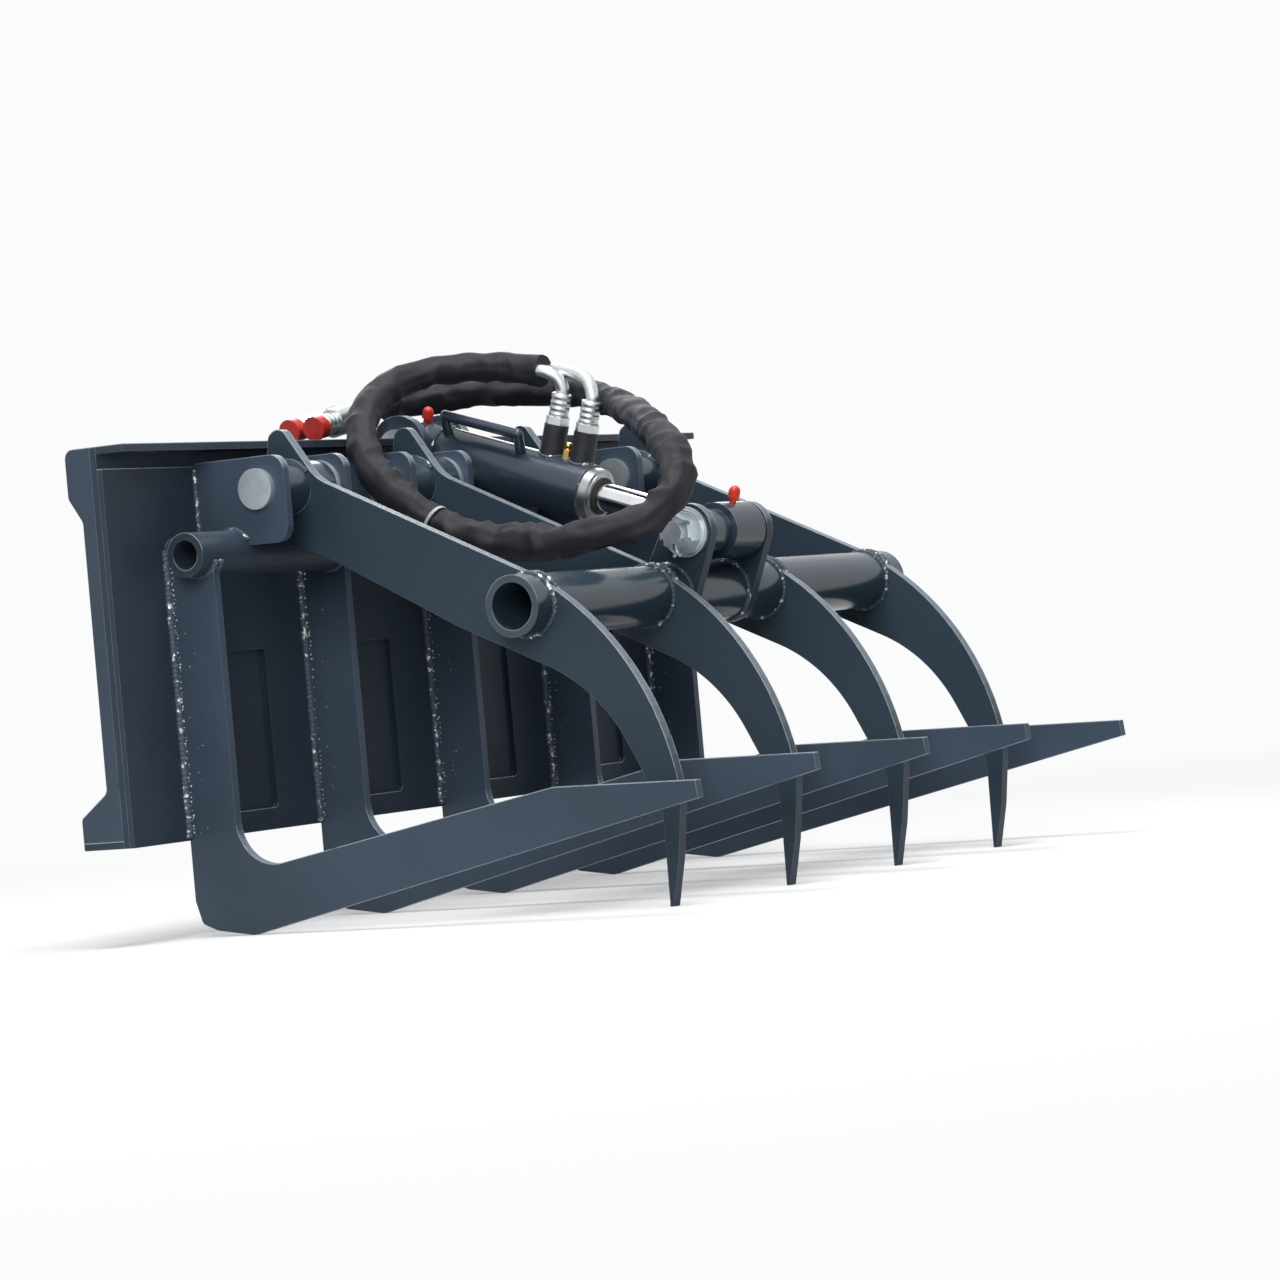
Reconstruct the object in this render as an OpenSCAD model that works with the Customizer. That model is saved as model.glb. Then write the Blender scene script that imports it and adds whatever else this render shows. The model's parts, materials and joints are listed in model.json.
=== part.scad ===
// Log grapple for a compact skid-steer loader: five fixed lower tines on a quick-attach back
// plate, and a hinged jaw of four hooked arms that one hydraulic cylinder opens and closes.
// The tines point to -Y, the width runs along X, and +Z is up. The grapple stands on the heels
// of its tines and on the points of its closed arms.
// In the comments "forward" is the distance ahead of the line through the tine heels.

/* [Layout] */
// Distance between neighbouring lower tines
tine_pitch = 233; // [215:1:245]
// Distance of the jaw hinge below the plate's top edge
hinge_below = 56; // [48:1:68]
// Distance of the jaw hinge forward of the heels
hinge_fwd = 10; // [4:1:16]
// Largest opening angle of the jaw, in degrees
jaw_open = 50; // [30:1:52]
// Clearance between plates that move past each other
side_gap = 1; // [0.5:0.1:2]
// Radial clearance of a pin that turns in its hole
running_gap = 0.05; // [0.02:0.01:0.09]

/* [Back plate] */
// Distance from the outer tines to the plate's ends
plate_overhang = 94; // [70:1:130]
// Height of the plate's top edge above the ground
plate_top = 528; // [520:1:540]
// Distance from the heels back to the front face of the sheet
heel_setback = 75; // [70:1:90]
// Thickness of the front sheet
sheet_t = 6; // [4:1:10]
// Distance from the sheet's top edge up to the plate's top edge
sheet_top_gap = 24; // [18:1:32]
// Width of a window in the sheet
window_w = 75; // [40:1:110]
// Height of a window in the sheet
window_h = 174; // [100:1:200]
// Height of the windows above the ground
window_up = 128; // [115:1:160]
// Radius of the window corners
window_r = 6; // [2:1:15]
// Thickness of the quick-attach plate
attach_t = 8; // [6:1:12]
// Height of the plate's lower edge above the ground
flange_up = 104; // [95:1:110]
// Depth of the bottom flange behind the plate
flange_depth = 54; // [46:1:64]
// Distance between the two wedge slots
slot_spacing = 836; // [700:1:900]
// Length of a wedge slot
slot_len = 64; // [40:1:80]
// Width of a wedge slot
slot_w = 32; // [20:1:34]
// Depth of the top hook behind the plate
hook_depth = 34; // [24:1:44]
// Thickness of the top hook
hook_t = 10; // [8:1:14]
// Length of the hook's turned-down edge
hook_drop = 26; // [16:1:40]
// Reach of the top lip forward of the quick-attach plate
lip_reach = 36; // [20:1:38]
// Thickness of the top lip
lip_t = 8; // [5:1:12]
// Thickness of an end gusset
gusset_t = 8; // [6:1:12]

/* [Lower tines] */
// Thickness of a tine
tine_t = 10; // [8:1:16]
// Distance from the heel to the tip
tine_reach = 568; // [520:1:600]
// Width of a tine's upright leg
leg_w = 63; // [50:1:66]
// Distance of the tines' upper ends below the hinge
tine_drop = 72; // [68:1:80]
// Height of the tip's underside above the ground
tip_up = 115; // [100:1:125]
// Height of the blunt tip
tip_h = 18; // [12:1:26]
// Extra height of the three inner tips
inner_tip_lift = 11; // [0:1:16]
// Length of the level edge behind the tip
tip_flat = 173; // [120:1:220]
// Height of the blade where it meets the leg
root_up = 65; // [50:1:80]
// Radius of the inner corner
throat_r = 48; // [30:1:60]
// Height of a tine's rear corner above the axis of the top tube
tine_horn = 20; // [12:1:22]
// Radius of that corner
tine_horn_r = 12; // [4:1:16]
// Outer diameter of the top tube
top_tube_od = 48; // [42:1:52]
// Wall of the top tube
top_tube_wall = 8; // [5:1:10]
// Distance of the top tube behind the heels
top_tube_back = 31; // [26:1:36]
// Distance of the top tube below the hinge
top_tube_down = 65; // [62:1:70]
// Length of tube that stands out of each outer tine
top_tube_overhang = 22; // [12:1:40]

/* [Hinge] */
// Diameter of a hinge pin
hinge_pin_d = 30; // [24:1:32]
// Diameter of a hinge pin's head
hinge_head_d = 44; // [40:1:50]
// Thickness of a hinge pin's head
hinge_head_t = 7; // [5:1:10]
// Thickness of a pivot ear
ear_t = 10; // [8:1:14]
// Reach of an ear forward of the sheet
ear_reach = 120; // [110:1:125]
// Height of an ear
ear_h = 94; // [88:1:98]
// Height of the hinge above an ear's lower edge
ear_below = 59; // [55:1:62]
// Radius of an ear's front corners
ear_r = 18; // [8:1:24]
// Radius of an ear's upper rear corner
ear_rear_r = 6; // [2:1:10]
// Length of a pivot boss through its arm
boss_len = 84; // [60:1:90]
// Outer diameter of a pivot boss
boss_od = 58; // [52:1:60]
// Wall of the bushing in a boss
bushing_wall = 4; // [3:0.5:6]
// Thickness of a thrust washer
thrust_t = 7; // [4:1:10]

/* [Jaw] */
// Thickness of an arm
arm_t = 12; // [10:1:16]
// Distance from the hinge forward to the arm's point
arm_reach = 442; // [410:1:460]
// Outer diameter of the cross tube
cross_tube_od = 66; // [58:1:70]
// Wall of the cross tube
cross_tube_wall = 8; // [5:1:12]
// Length of tube that stands out of each outer arm
cross_tube_overhang = 30; // [15:1:45]
// Thickness of a clevis lug
lug_t = 12; // [8:1:16]
// Radius of a clevis lug round its pin
lug_r = 31; // [27:1:34]

/* [Cylinder] */
// Distance of the rear pin behind the heels
rear_pin_back = 62; // [58:1:66]
// Distance of the rear pin below the plate's top edge
rear_pin_below = 11; // [6:1:16]
// Distance of the front pin ahead of the cross tube
front_pin_ahead = 33; // [27:1:39]
// Distance of the front pin above the cross tube
front_pin_above = 66; // [62:1:72]
// Diameter of both cylinder pins
cyl_pin_d = 25; // [20:1:28]
// Outer diameter of the barrel
barrel_od = 65; // [60:1:70]
// Wall of the barrel
barrel_wall = 7.5; // [6:0.5:9]
// Distance from the rear pin to the end of the barrel
barrel_end = 237; // [220:1:250]
// Gap between the rod and the bore
rod_gap = 9; // [7.5:0.5:11]
// Outer diameter of the rear eye
rear_eye_od = 60; // [52:1:62]
// Width of the rear eye
rear_eye_w = 66; // [56:1:70]
// Outer diameter of the rod eye
rod_eye_od = 62; // [56:1:66]
// Width of the rod eye
rod_eye_w = 60; // [50:1:64]
// Radial play of the rod eye on the front pin
open_pivot_gap = 4.9; // [4.6:0.1:5.4]
// Distance from the rear pin to the first port
port_1_at = 177; // [150:1:185]
// Distance between the two ports
port_step = 41; // [34:1:44]

/* [Hoses] */
// Diameter of the sleeve that holds both hoses
sleeve_d = 33; // [26:1:34]
// Diameter of a single hose
hose_d = 15; // [10:1:16]
// Length of a quick coupler with its hose ferrule
coupler_len = 104; // [84:1:120]
// Slope of the couplers, which lie with their caps on the plate, in degrees
coupler_tilt = 10; // [6:1:14]
// Diameter of a quick coupler's collar
collar_d = 33; // [28:1:34]
// Travel of the coupler's locking collar
collar_travel = 8; // [4:1:10]

/* [Hidden] */
$fn = 64;

// One overrun for every cut
over = 5;
// Facets of a fine arc in a plate outline
arc_steps = 16;
// Sides of a hose, and the upward share of its heading past which it counts as steep
tube_sides = 10;
steep_share = 0.9;

// Colours
paint = [0.17, 0.21, 0.26];
zinc = [0.75, 0.76, 0.78];
chrome_c = [0.86, 0.87, 0.89];
black_c = [0.06, 0.06, 0.07];
red_c = [0.78, 0.10, 0.06];
bronze_c = [0.62, 0.45, 0.22];

// Positions along the forward axis
sheet_front = -heel_setback;
attach_front = sheet_front - sheet_t;
attach_back = attach_front - attach_t;
rear_reach = max(hook_depth, flange_depth) - attach_back;
tip_fwd = tine_reach;
// Half the length moves the origin to the middle of the footprint
y_mid = (tip_fwd - rear_reach) / 2;

// Heights that follow the plate's top edge
hinge_up = plate_top - hinge_below;
tine_top = hinge_up - tine_drop;
// The rear lugs' notch in the plate and the lugs' foot on the sheet, below the plate's top edge
notch_depth = 50;
rear_lug_depth = 98;
notch_bottom = plate_top - notch_depth;
rear_lug_foot = plate_top - rear_lug_depth;

tine_half = tine_t / 2;
outer_tine_x = 2 * tine_pitch;
plate_w = 2 * (outer_tine_x + tine_half + plate_overhang);
tine_xs = [for (i = [-2 : 2]) i * tine_pitch];
arm_xs = [for (i = [-1.5 : 1 : 1.5]) i * tine_pitch];

leg_front = sheet_front + leg_w;
tube_c = [-top_tube_back, hinge_up - top_tube_down];
hinge_c = [hinge_fwd, hinge_up];
// The cross tube's place in an arm, as shares of the arm's reach and of the hinge height
cross_tube_shares = [0.672, -0.3178];
cross_c = hinge_c + [cross_tube_shares[0] * arm_reach, cross_tube_shares[1] * hinge_up];
rear_c = [-rear_pin_back, plate_top - rear_pin_below];
front_c = cross_c + [front_pin_ahead, front_pin_above];

// Hinge stack, measured sideways from the middle of an arm
boss_half = boss_len / 2;
thrust_start = boss_half + side_gap / 2;
ear_inner = thrust_start + thrust_t + side_gap / 2;
ear_outer = ear_inner + ear_t;
end_washer_t = 4;
end_washer_d = 44;
hinge_tail = 24;
split_pin_d = 5;
// Split pin's eye radius, wire and legs as shares of its diameter, and how far the legs spread
split_eye_share = 0.8;
split_wire_share = 0.45;
split_leg_share = 1.6;
split_spread_deg = 130;
// Size of the castle nut's split pin as a share of a hinge split pin
nut_pin_share = 0.8;
bushing_od = hinge_pin_d + 2 * bushing_wall;

// Clevis stack along X: the spacer fills the wider near side
eye_gap = 4;
clevis_far_x = rod_eye_w / 2 + eye_gap;
spacer_len = 41;
clevis_near_x = -rod_eye_w / 2 - spacer_len - side_gap;
lug_foot = 3;
spacer_od = 48;
cyl_washer_t = 5;
cyl_washer_d = 56;
outer_washer_share = 0.86;
cyl_nut_t = 18;
cyl_nut_af = 36;
nut_slot_w = 6;
nut_slot_depth = 6;
pin_tail = 5;
cyl_head_t = 7;
cyl_head_d = 44;

// Rear lugs
rear_lug_play = 3;
rear_lug_gap = rear_eye_w + 2 * rear_lug_play;
rear_lug_r = 38;

// Cylinder axis
cyl_vec = front_c - rear_c;
cyl_len = norm(cyl_vec);
cyl_dir = cyl_vec / cyl_len;
cyl_tilt = atan2(-cyl_dir[1], cyl_dir[0]);
slide_gap = 0.3;
bore_d = barrel_od - 2 * barrel_wall;
rod_d = bore_d - 2 * rod_gap;
cap_start = 12;
cap_end = 34;
gland_inner = 22;
gland_out = 15;
gland_step = 2.5;
gland_od = barrel_od - 2 * gland_step;
gland_groove = 3;
wiper_wall = 5;
wiper_d = rod_d + 2 * wiper_wall;
wiper_t = 5;
wiper_lip = 2;
piston_len = 32;
piston_rest_gap = 8;
seal_groove = 6;
// Starts of the piston's seal grooves and their width as shares of its length
groove_start_shares = [0.2, 0.6];
groove_width_share = 0.2;
spigot_d = 20;
spigot_nut_t = 10;
spigot_nut_d = 30;
port_d = 28;
port_top = 66;
port_seat = 4;
ferrule_d = 23;
ferrule_len = 36;
ferrule_hex = 24;
hex_t = 10;
line_d = 12;
line_out = 24;
line_side_deg = 31;
line_front = 146;
line_rear = 44;
nipple_d = 8;
nipple_h = 5;
cap_d = 13;
cap_h = 14;

// Circlip of the rear pin, in a groove close to the far lug
clip_t = 2.5;
clip_d = 34;
clip_groove = 1.5;
clip_mouth = 8.5;

// Couplers lie side by side on the top edge of the plate, their caps down
coupler_x = -66;
coupler_mid = -95;
coupler_lift = 0.4;
collar_wall = 3.5;
coupler_d = collar_d - 2 * collar_wall;
coupler_step = collar_d + side_gap;
coupler_nose_share = 0.8;
coupler_nose_d = coupler_nose_share * coupler_d;
coupler_tail_share = 0.85;
// Straight stretch at each end of a coupler's hose, as a share of the hose
hose_lead_share = 0.25;
collar_len = 26;
collar_at = 50;
coupler_hex_at = 30;
coupler_hex_t = 16;
cap_len = 14;
cap_rim_t = 2;

// The chamfered heel behind a tine's lowest point: forward of the sheet and the rounding as
// shares of the setback, and the height as a share of the root height
heel_shares = [[0, 0.6, 0], [0.1, 0.22, 0.1], [0.36, 0.1, 0.1]];
// How far a tip's top edge leans back and rises
tip_draft = 2;

// Arm outline relative to the hinge. Forward and up along the blade are shares of the reach and
// of the hinge height, and the rounding is a share of the hinge height.
blade_shares = [
    [0.081, 0.015, 0.120], [0.976, -0.379, 0.661], [1.052, -0.750, 0.150], [1.031, -0.895, 0.100],
    [1.005, -1.000, 0.000], [0.996, -1.000, 0.000], [0.998, -0.785, 0.060], [0.851, -0.515, 0.400],
    [0.465, -0.350, 0.300]
];
// Forward, up and rounding above and below the boss, as shares of its diameter
head_top_shares = [[-0.38, 1.00, 0.16], [-0.11, 1.18, 0.21]];
head_low_shares = [[0.61, -1.28, 0.49], [-0.11, -1.07, 0.16], [-0.48, -0.65, 0.16], [-0.52, 0.16, 0.41]];
// Clearance between the arms and the top tube
tube_clearance = 4;

// The sleeve's route from the cylinder ports round the loop to the couplers, as forward,
// sideways and up, read off the real hose
sleeve_route = [
    [114, 0, 588], [92, -1, 592], [60, -6, 598], [19, -22, 601], [-14, -60, 597], [-32, -105, 580],
    [-30, -150, 555], [-8, -191, 520], [25, -210, 480], [70, -214, 442], [130, -216, 408],
    [200, -216, 393], [265, -212, 390], [320, -199, 394], [358, -178, 408], [375, -152, 438],
    [357, -124, 469], [320, -90, 494], [266, -40, 519], [208, 12, 539], [153, 42, 555],
    [96, 57, 566], [45, 64, 572], [-3, 68, 576], [-36, 67, 578], [-59, 61, 577],
    [-79, 47, 574], [-92, 28, 572], [-96, 7, 571], [-96, -12, 571]
];

function deg_between(a, b) = acos(max(-1, min(1, a * b)));
function turned(p, a) = [p[0] * cos(a) - p[1] * sin(a), p[0] * sin(a) + p[1] * cos(a)];
function polar(r, a) = [r * cos(a), r * sin(a)];

// Arc that rounds corner b between its neighbours a and c with radius r
function corner(a, b, c, r) =
    r <= 0 ? [b] :
    let (u = (a - b) / norm(a - b), v = (c - b) / norm(c - b))
    let (half = deg_between(u, v) / 2)
    let (back = r / tan(half), centre = b + (u + v) / norm(u + v) * r / sin(half))
    let (start = b + u * back - centre, end = b + v * back - centre)
    let (a0 = atan2(start[1], start[0]), turn = atan2(end[1], end[0]) - a0)
    let (sweep = turn > 180 ? turn - 360 : turn < -180 ? turn + 360 : turn)
    [for (i = [0 : arc_steps]) centre + polar(r, a0 + sweep * i / arc_steps)];

// Outline through [forward, up, radius] points
function rounded(pts) =
    let (n = len(pts))
    [for (i = [0 : n - 1])
        let (p = pts[i], a = pts[(i + n - 1) % n], c = pts[(i + 1) % n])
        each corner([a[0], a[1]], [p[0], p[1]], [c[0], c[1]], p[2])];

// Moves the whole model so that the origin is under the middle of its footprint
module placed() {
    translate([0, y_mid, 0]) children();
}

// A side-view outline [forward, up] as a plate of thickness t, centred on x
module side_plate(x, t) {
    translate([x, 0, 0]) rotate([90, 0, -90])
        linear_extrude(t, center = true) children();
}

// A round bar or hole along X through the side-view point c, from x0 to x1
module cross_bar(c, d, x0, x1, sides = 64) {
    translate([x0, -c[0], c[1]]) rotate([0, 90, 0])
        cylinder(h = x1 - x0, d = d, $fn = sides);
}

// Turns a side-view position into the cylinder's own axis: local +X runs to the front pin
module on_cylinder() {
    translate([0, -rear_c[0], rear_c[1]]) rotate([cyl_tilt, 0, 0]) rotate([0, 0, -90])
        children();
}

// A round bar on the cylinder's axis between distances s0 and s1 from the rear pin
module axis_bar(d, s0, s1) {
    translate([s0, 0, 0]) rotate([0, 90, 0]) cylinder(h = s1 - s0, d = d);
}

// Box in side-view terms: x range, forward range and up range
module block(x, fwd, up) {
    translate([x[0], -fwd[1], up[0]])
        cube([x[1] - x[0], fwd[1] - fwd[0], up[1] - up[0]]);
}

// The open space for the rear lugs, through the plate's top edge, wider where the pin's ends are
module lug_notch() {
    half = rear_lug_gap / 2 + lug_t;
    wide = half + cyl_head_t + 2 * side_gap;
    depth = [attach_back - hook_depth - over, 0];
    block([-half, half], depth, [notch_bottom, plate_top + over]);
    block([-wide, wide], depth, [rear_c[1] - cyl_head_d / 2 - 2 * side_gap, plate_top + over]);
}

module back_sheet() {
    color(paint) placed() difference() {
        block([-plate_w / 2, plate_w / 2], [attach_front, sheet_front],
            [flange_up, plate_top - sheet_top_gap]);
        for (x = arm_xs) window_cut(x);
        lug_notch();
    }
}

// A window with round corners
module window_cut(x) {
    translate([x, -sheet_front + sheet_t + over, 0]) rotate([90, 0, 0])
        linear_extrude(sheet_t + 2 * over) window_outline();
}

module window_outline() {
    high = window_up + window_h;
    polygon(rounded([
        [-window_w / 2, window_up, window_r], [window_w / 2, window_up, window_r],
        [window_w / 2, high, window_r], [-window_w / 2, high, window_r]
    ]));
}

module quick_attach_plate() {
    color(paint) placed() difference() {
        block([-plate_w / 2, plate_w / 2], [attach_back, attach_front], [flange_up, plate_top]);
        lug_notch();
    }
}

module bottom_flange() {
    color(paint) placed() difference() {
        block([-plate_w / 2, plate_w / 2], [attach_back - flange_depth, attach_back],
            [flange_up, flange_up + attach_t]);
        for (side = [-1, 1]) wedge_slot(side * slot_spacing / 2);
    }
}

// A wedge slot with round ends, cut straight down through the flange
module wedge_slot(x) {
    mid = attach_back - flange_depth / 2;
    straight = (slot_len - slot_w) / 2;
    block([x - straight, x + straight], [mid - slot_w / 2, mid + slot_w / 2],
        [flange_up - over, flange_up + attach_t + over]);
    for (end = [-straight, straight]) translate([x + end, -mid, flange_up - over])
        cylinder(h = attach_t + 2 * over, d = slot_w);
}

module top_hook() {
    color(paint) placed() difference() {
        side_plate(0, plate_w - 2 * gusset_t) polygon([
            [attach_back, plate_top], [attach_back - hook_depth + hook_t, plate_top],
            [attach_back - hook_depth, plate_top - hook_t],
            [attach_back - hook_depth, plate_top - hook_drop],
            [attach_back - hook_depth + hook_t, plate_top - hook_drop],
            [attach_back - hook_depth + hook_t, plate_top - hook_t],
            [attach_back, plate_top - hook_t]
        ]);
        lug_notch();
    }
}

module top_lip() {
    color(paint) placed() difference() {
        block([-plate_w / 2, plate_w / 2], [attach_front, attach_front + lip_reach],
            [plate_top - lip_t, plate_top]);
        lug_notch();
    }
}

// The two end gussets between the hook and the bottom flange, hollowed for the coupler
module end_gussets() {
    top = attach_back - hook_depth;
    low = attach_back - flange_depth;
    waist = attach_back - hook_depth / 2;
    foot = flange_up + attach_t;
    color(paint) placed() for (side = [-1, 1])
        side_plate(side * (plate_w - gusset_t) / 2, gusset_t) polygon(rounded([
            [attach_back, plate_top, 0], [top, plate_top, hook_t],
            [top, plate_top - 2 * hook_drop, hook_t], [waist, plate_top - 3 * hook_drop, hook_t],
            [waist, foot + 2 * hook_drop, hook_t], [low, foot + hook_drop, hook_t / 2],
            [low, foot, 0], [attach_back, foot, 0]
        ]));
}

// Outline of a lower tine; lift raises its tip
module tine_outline(lift) {
    tip_top = tip_up + lift + tip_h;
    horn_top = tube_c[1] + tine_horn;
    polygon(rounded([
        [sheet_front, horn_top, tine_horn_r],
        for (s = heel_shares) [sheet_front + s[0] * heel_setback, s[1] * root_up, s[2] * heel_setback],
        [0, 0, 0],
        [tip_fwd, tip_up + lift, 0], [tip_fwd - tip_draft, tip_top, 0],
        [tip_fwd - tip_flat, tip_top + tip_draft, 0],
        [leg_front, root_up, throat_r], [leg_front, tine_top, 0],
        [tube_c[0], tine_top, 0], [tube_c[0], horn_top, 0]
    ]));
}

module tine(i) {
    x = tine_xs[i];
    lift = abs(x) < outer_tine_x - tine_t ? inner_tip_lift : 0;
    color(paint) placed() difference() {
        side_plate(x, tine_t) tine_outline(lift);
        cross_bar(tube_c, top_tube_od, x - tine_t, x + tine_t);
    }
}

module tine_1() { tine(0); }
module tine_2() { tine(1); }
module tine_3() { tine(2); }
module tine_4() { tine(3); }
module tine_5() { tine(4); }

module top_tube() {
    half = outer_tine_x + tine_half + top_tube_overhang;
    color(paint) placed() difference() {
        cross_bar(tube_c, top_tube_od, -half, half);
        cross_bar(tube_c, top_tube_od - 2 * top_tube_wall, -half - over, half + over);
    }
}

module ear_outline() {
    front = sheet_front + ear_reach;
    low = hinge_up - ear_below;
    polygon(rounded([
        [sheet_front, low, 0], [sheet_front, low + ear_h, ear_rear_r],
        [front, low + ear_h, ear_r], [front, low, ear_r]
    ]));
}

// The two ears that carry one hinge pin
module ear_pair(i) {
    x = arm_xs[i];
    mid = (ear_inner + ear_outer) / 2;
    color(paint) placed() for (side = [-1, 1]) difference() {
        side_plate(x + side * mid, ear_t) ear_outline();
        cross_bar(hinge_c, hinge_pin_d + 2 * running_gap, x + side * mid - ear_t, x + side * mid + ear_t);
        cross_bar(tube_c, top_tube_od, x + side * mid - ear_t, x + side * mid + ear_t);
    }
}

module ear_pair_1() { ear_pair(0); }
module ear_pair_2() { ear_pair(1); }
module ear_pair_3() { ear_pair(2); }
module ear_pair_4() { ear_pair(3); }

split_pin_at = ear_outer + end_washer_t + side_gap + split_pin_d / 2;

module hinge_pin(i) {
    x = arm_xs[i];
    tip = x + ear_outer + hinge_tail;
    color(zinc) placed() difference() {
        union() {
            cross_bar(hinge_c, hinge_head_d, x - ear_outer - hinge_head_t, x - ear_outer);
            cross_bar(hinge_c, hinge_pin_d, x - ear_outer - over, tip);
        }
        translate([x + split_pin_at, -hinge_c[0], hinge_c[1] - hinge_pin_d])
            cylinder(h = 2 * hinge_pin_d, d = split_pin_d + 2 * running_gap, $fn = 24);
    }
}

module hinge_pin_1() { hinge_pin(0); }
module hinge_pin_2() { hinge_pin(1); }
module hinge_pin_3() { hinge_pin(2); }
module hinge_pin_4() { hinge_pin(3); }

// A flat ring along X
module ring(c, od, id, x0, x1) {
    difference() {
        cross_bar(c, od, x0, x1);
        cross_bar(c, id, x0 - over, x1 + over);
    }
}

module thrust_washers() {
    color(zinc) placed() for (x = arm_xs, side = [-1, 1])
        ring(hinge_c, boss_od, hinge_pin_d + 2 * running_gap,
            x + side * (thrust_start + thrust_t / 2) - thrust_t / 2,
            x + side * (thrust_start + thrust_t / 2) + thrust_t / 2);
}

module hinge_end_washers() {
    color(zinc) placed() for (x = arm_xs)
        ring(hinge_c, end_washer_d, hinge_pin_d + 2 * running_gap, x + ear_outer,
            x + ear_outer + end_washer_t);
}

// A split pin through a pin of diameter across, at x along it: ring, shank and splayed legs
module split_pin(c, x, across, d) {
    eye_r = split_eye_share * d;
    wire = split_wire_share * d;
    top = across / 2 + eye_r;
    translate([x, -c[0], c[1]]) {
        cylinder(h = across / 2 + wire, d = d, $fn = 24);
        translate([0, 0, -across / 2 - wire]) cylinder(h = across / 2 + wire, d = d, $fn = 24);
        translate([0, 0, top + wire]) rotate([0, 90, 0]) rotate_extrude($fn = 32)
            translate([eye_r, 0]) circle(d = 2 * wire, $fn = 16);
        for (side = [-1, 1])
            translate([0, side * wire / 2, -across / 2 - wire / 2]) rotate([side * split_spread_deg, 0, 0])
                cylinder(h = split_leg_share * d, d = 2 * wire, $fn = 16);
    }
}

module hinge_split_pins() {
    color(zinc) placed() for (x = arm_xs)
        split_pin(hinge_c, x + split_pin_at, hinge_pin_d, split_pin_d);
}

// Side view of a rear lug: a rounded head round the pin and a foot down the sheet
module rear_lug_outline() {
    front = rear_c[0] + rear_lug_r;
    polygon([
        [sheet_front, rear_lug_foot], [front - lug_t, rear_lug_foot], [front, rear_lug_foot + 2 * lug_t],
        [front, rear_c[1]], [rear_c[0], rear_c[1] + rear_lug_r],
        [attach_back, rear_c[1] + rear_lug_r - lug_t], [attach_back, notch_bottom],
        [sheet_front, notch_bottom]
    ]);
    translate(rear_c) circle(r = rear_lug_r);
}

module rear_lug(side) {
    x = side * (rear_lug_gap + lug_t) / 2;
    color(paint) placed() difference() {
        side_plate(x, lug_t) intersection() {
            rear_lug_outline();
            translate([attach_back, 0]) square([plate_w, 2 * plate_top]);
        }
        cross_bar(rear_c, cyl_pin_d + 2 * running_gap, x - lug_t, x + lug_t);
    }
}

module rear_lug_near() { rear_lug(-1); }
module rear_lug_far() { rear_lug(1); }

// A cylinder pin with its head at x1 and its threaded tail past x0
module cylinder_pin(c, x0, x1) {
    nut_x = x0 - 2 * cyl_washer_t - cyl_nut_t;
    difference() {
        union() {
            cross_bar(c, cyl_pin_d, nut_x - pin_tail, x1 + over);
            cross_bar(c, cyl_head_d, x1, x1 + cyl_head_t);
        }
        translate([nut_x + nut_slot_depth / 2, -c[0], c[1] - cyl_pin_d])
            cylinder(h = 2 * cyl_pin_d, d = split_pin_d + 2 * running_gap, $fn = 24);
    }
}

// Two washers, the outer one smaller, stacked on the near side of x0
module cylinder_washers(c, x0) {
    hole = cyl_pin_d + 2 * running_gap;
    ring(c, cyl_washer_d, hole, x0 - cyl_washer_t, x0);
    ring(c, outer_washer_share * cyl_washer_d, hole, x0 - 2 * cyl_washer_t, x0 - cyl_washer_t);
}

// A castle nut: a hexagon with six slots in its outer face
module castle_nut(c, x0) {
    x1 = x0 - 2 * cyl_washer_t;
    across = cyl_nut_af / cos(30);
    difference() {
        cross_bar(c, across, x1 - cyl_nut_t, x1, 6);
        cross_bar(c, cyl_pin_d + 2 * running_gap, x1 - cyl_nut_t - over, x1 + over);
        for (a = [0 : 60 : 120])
            translate([x1 - cyl_nut_t - over, -c[0], c[1]]) rotate([a, 0, 0])
                translate([0, -nut_slot_w / 2, -across])
                    cube([nut_slot_depth + over, nut_slot_w, 2 * across]);
    }
}

// Where the split pin of a cylinder pin sits
function nut_pin_x(x0) = x0 - 2 * cyl_washer_t - cyl_nut_t + nut_slot_depth / 2;

rear_near_x = -rear_lug_gap / 2 - lug_t;
clevis_near_face = clevis_near_x - lug_t;

// The rear pin: a head on the near side and a circlip groove on the far side
module rear_pin() {
    far_x = -rear_near_x;
    color(zinc) placed() difference() {
        union() {
            cross_bar(rear_c, cyl_pin_d, rear_near_x - over, far_x + 2 * clip_t + side_gap);
            cross_bar(rear_c, cyl_head_d, rear_near_x - cyl_head_t, rear_near_x);
        }
        ring(rear_c, cyl_pin_d + over, cyl_pin_d - 2 * clip_groove, far_x + running_gap,
            far_x + clip_t + 3 * running_gap);
    }
}

// An open ring that snaps into the rear pin's groove
module rear_circlip() {
    x = -rear_near_x + 2 * running_gap;
    color(zinc) placed() difference() {
        ring(rear_c, clip_d, cyl_pin_d - 2 * clip_groove + 2 * running_gap, x, x + clip_t);
        block([x - over, x + clip_t + over], [rear_c[0] - clip_mouth / 2, rear_c[0] + clip_mouth / 2],
            [rear_c[1], rear_c[1] + clip_d]);
    }
}

// Outline of an arm with the hinge at the origin
module arm_outline() {
    polygon(rounded([
        for (s = head_top_shares) s * boss_od,
        for (s = blade_shares) [s[0] * arm_reach, s[1] * hinge_up, s[2] * hinge_up],
        for (s = head_low_shares) s * boss_od
    ]));
}

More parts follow.
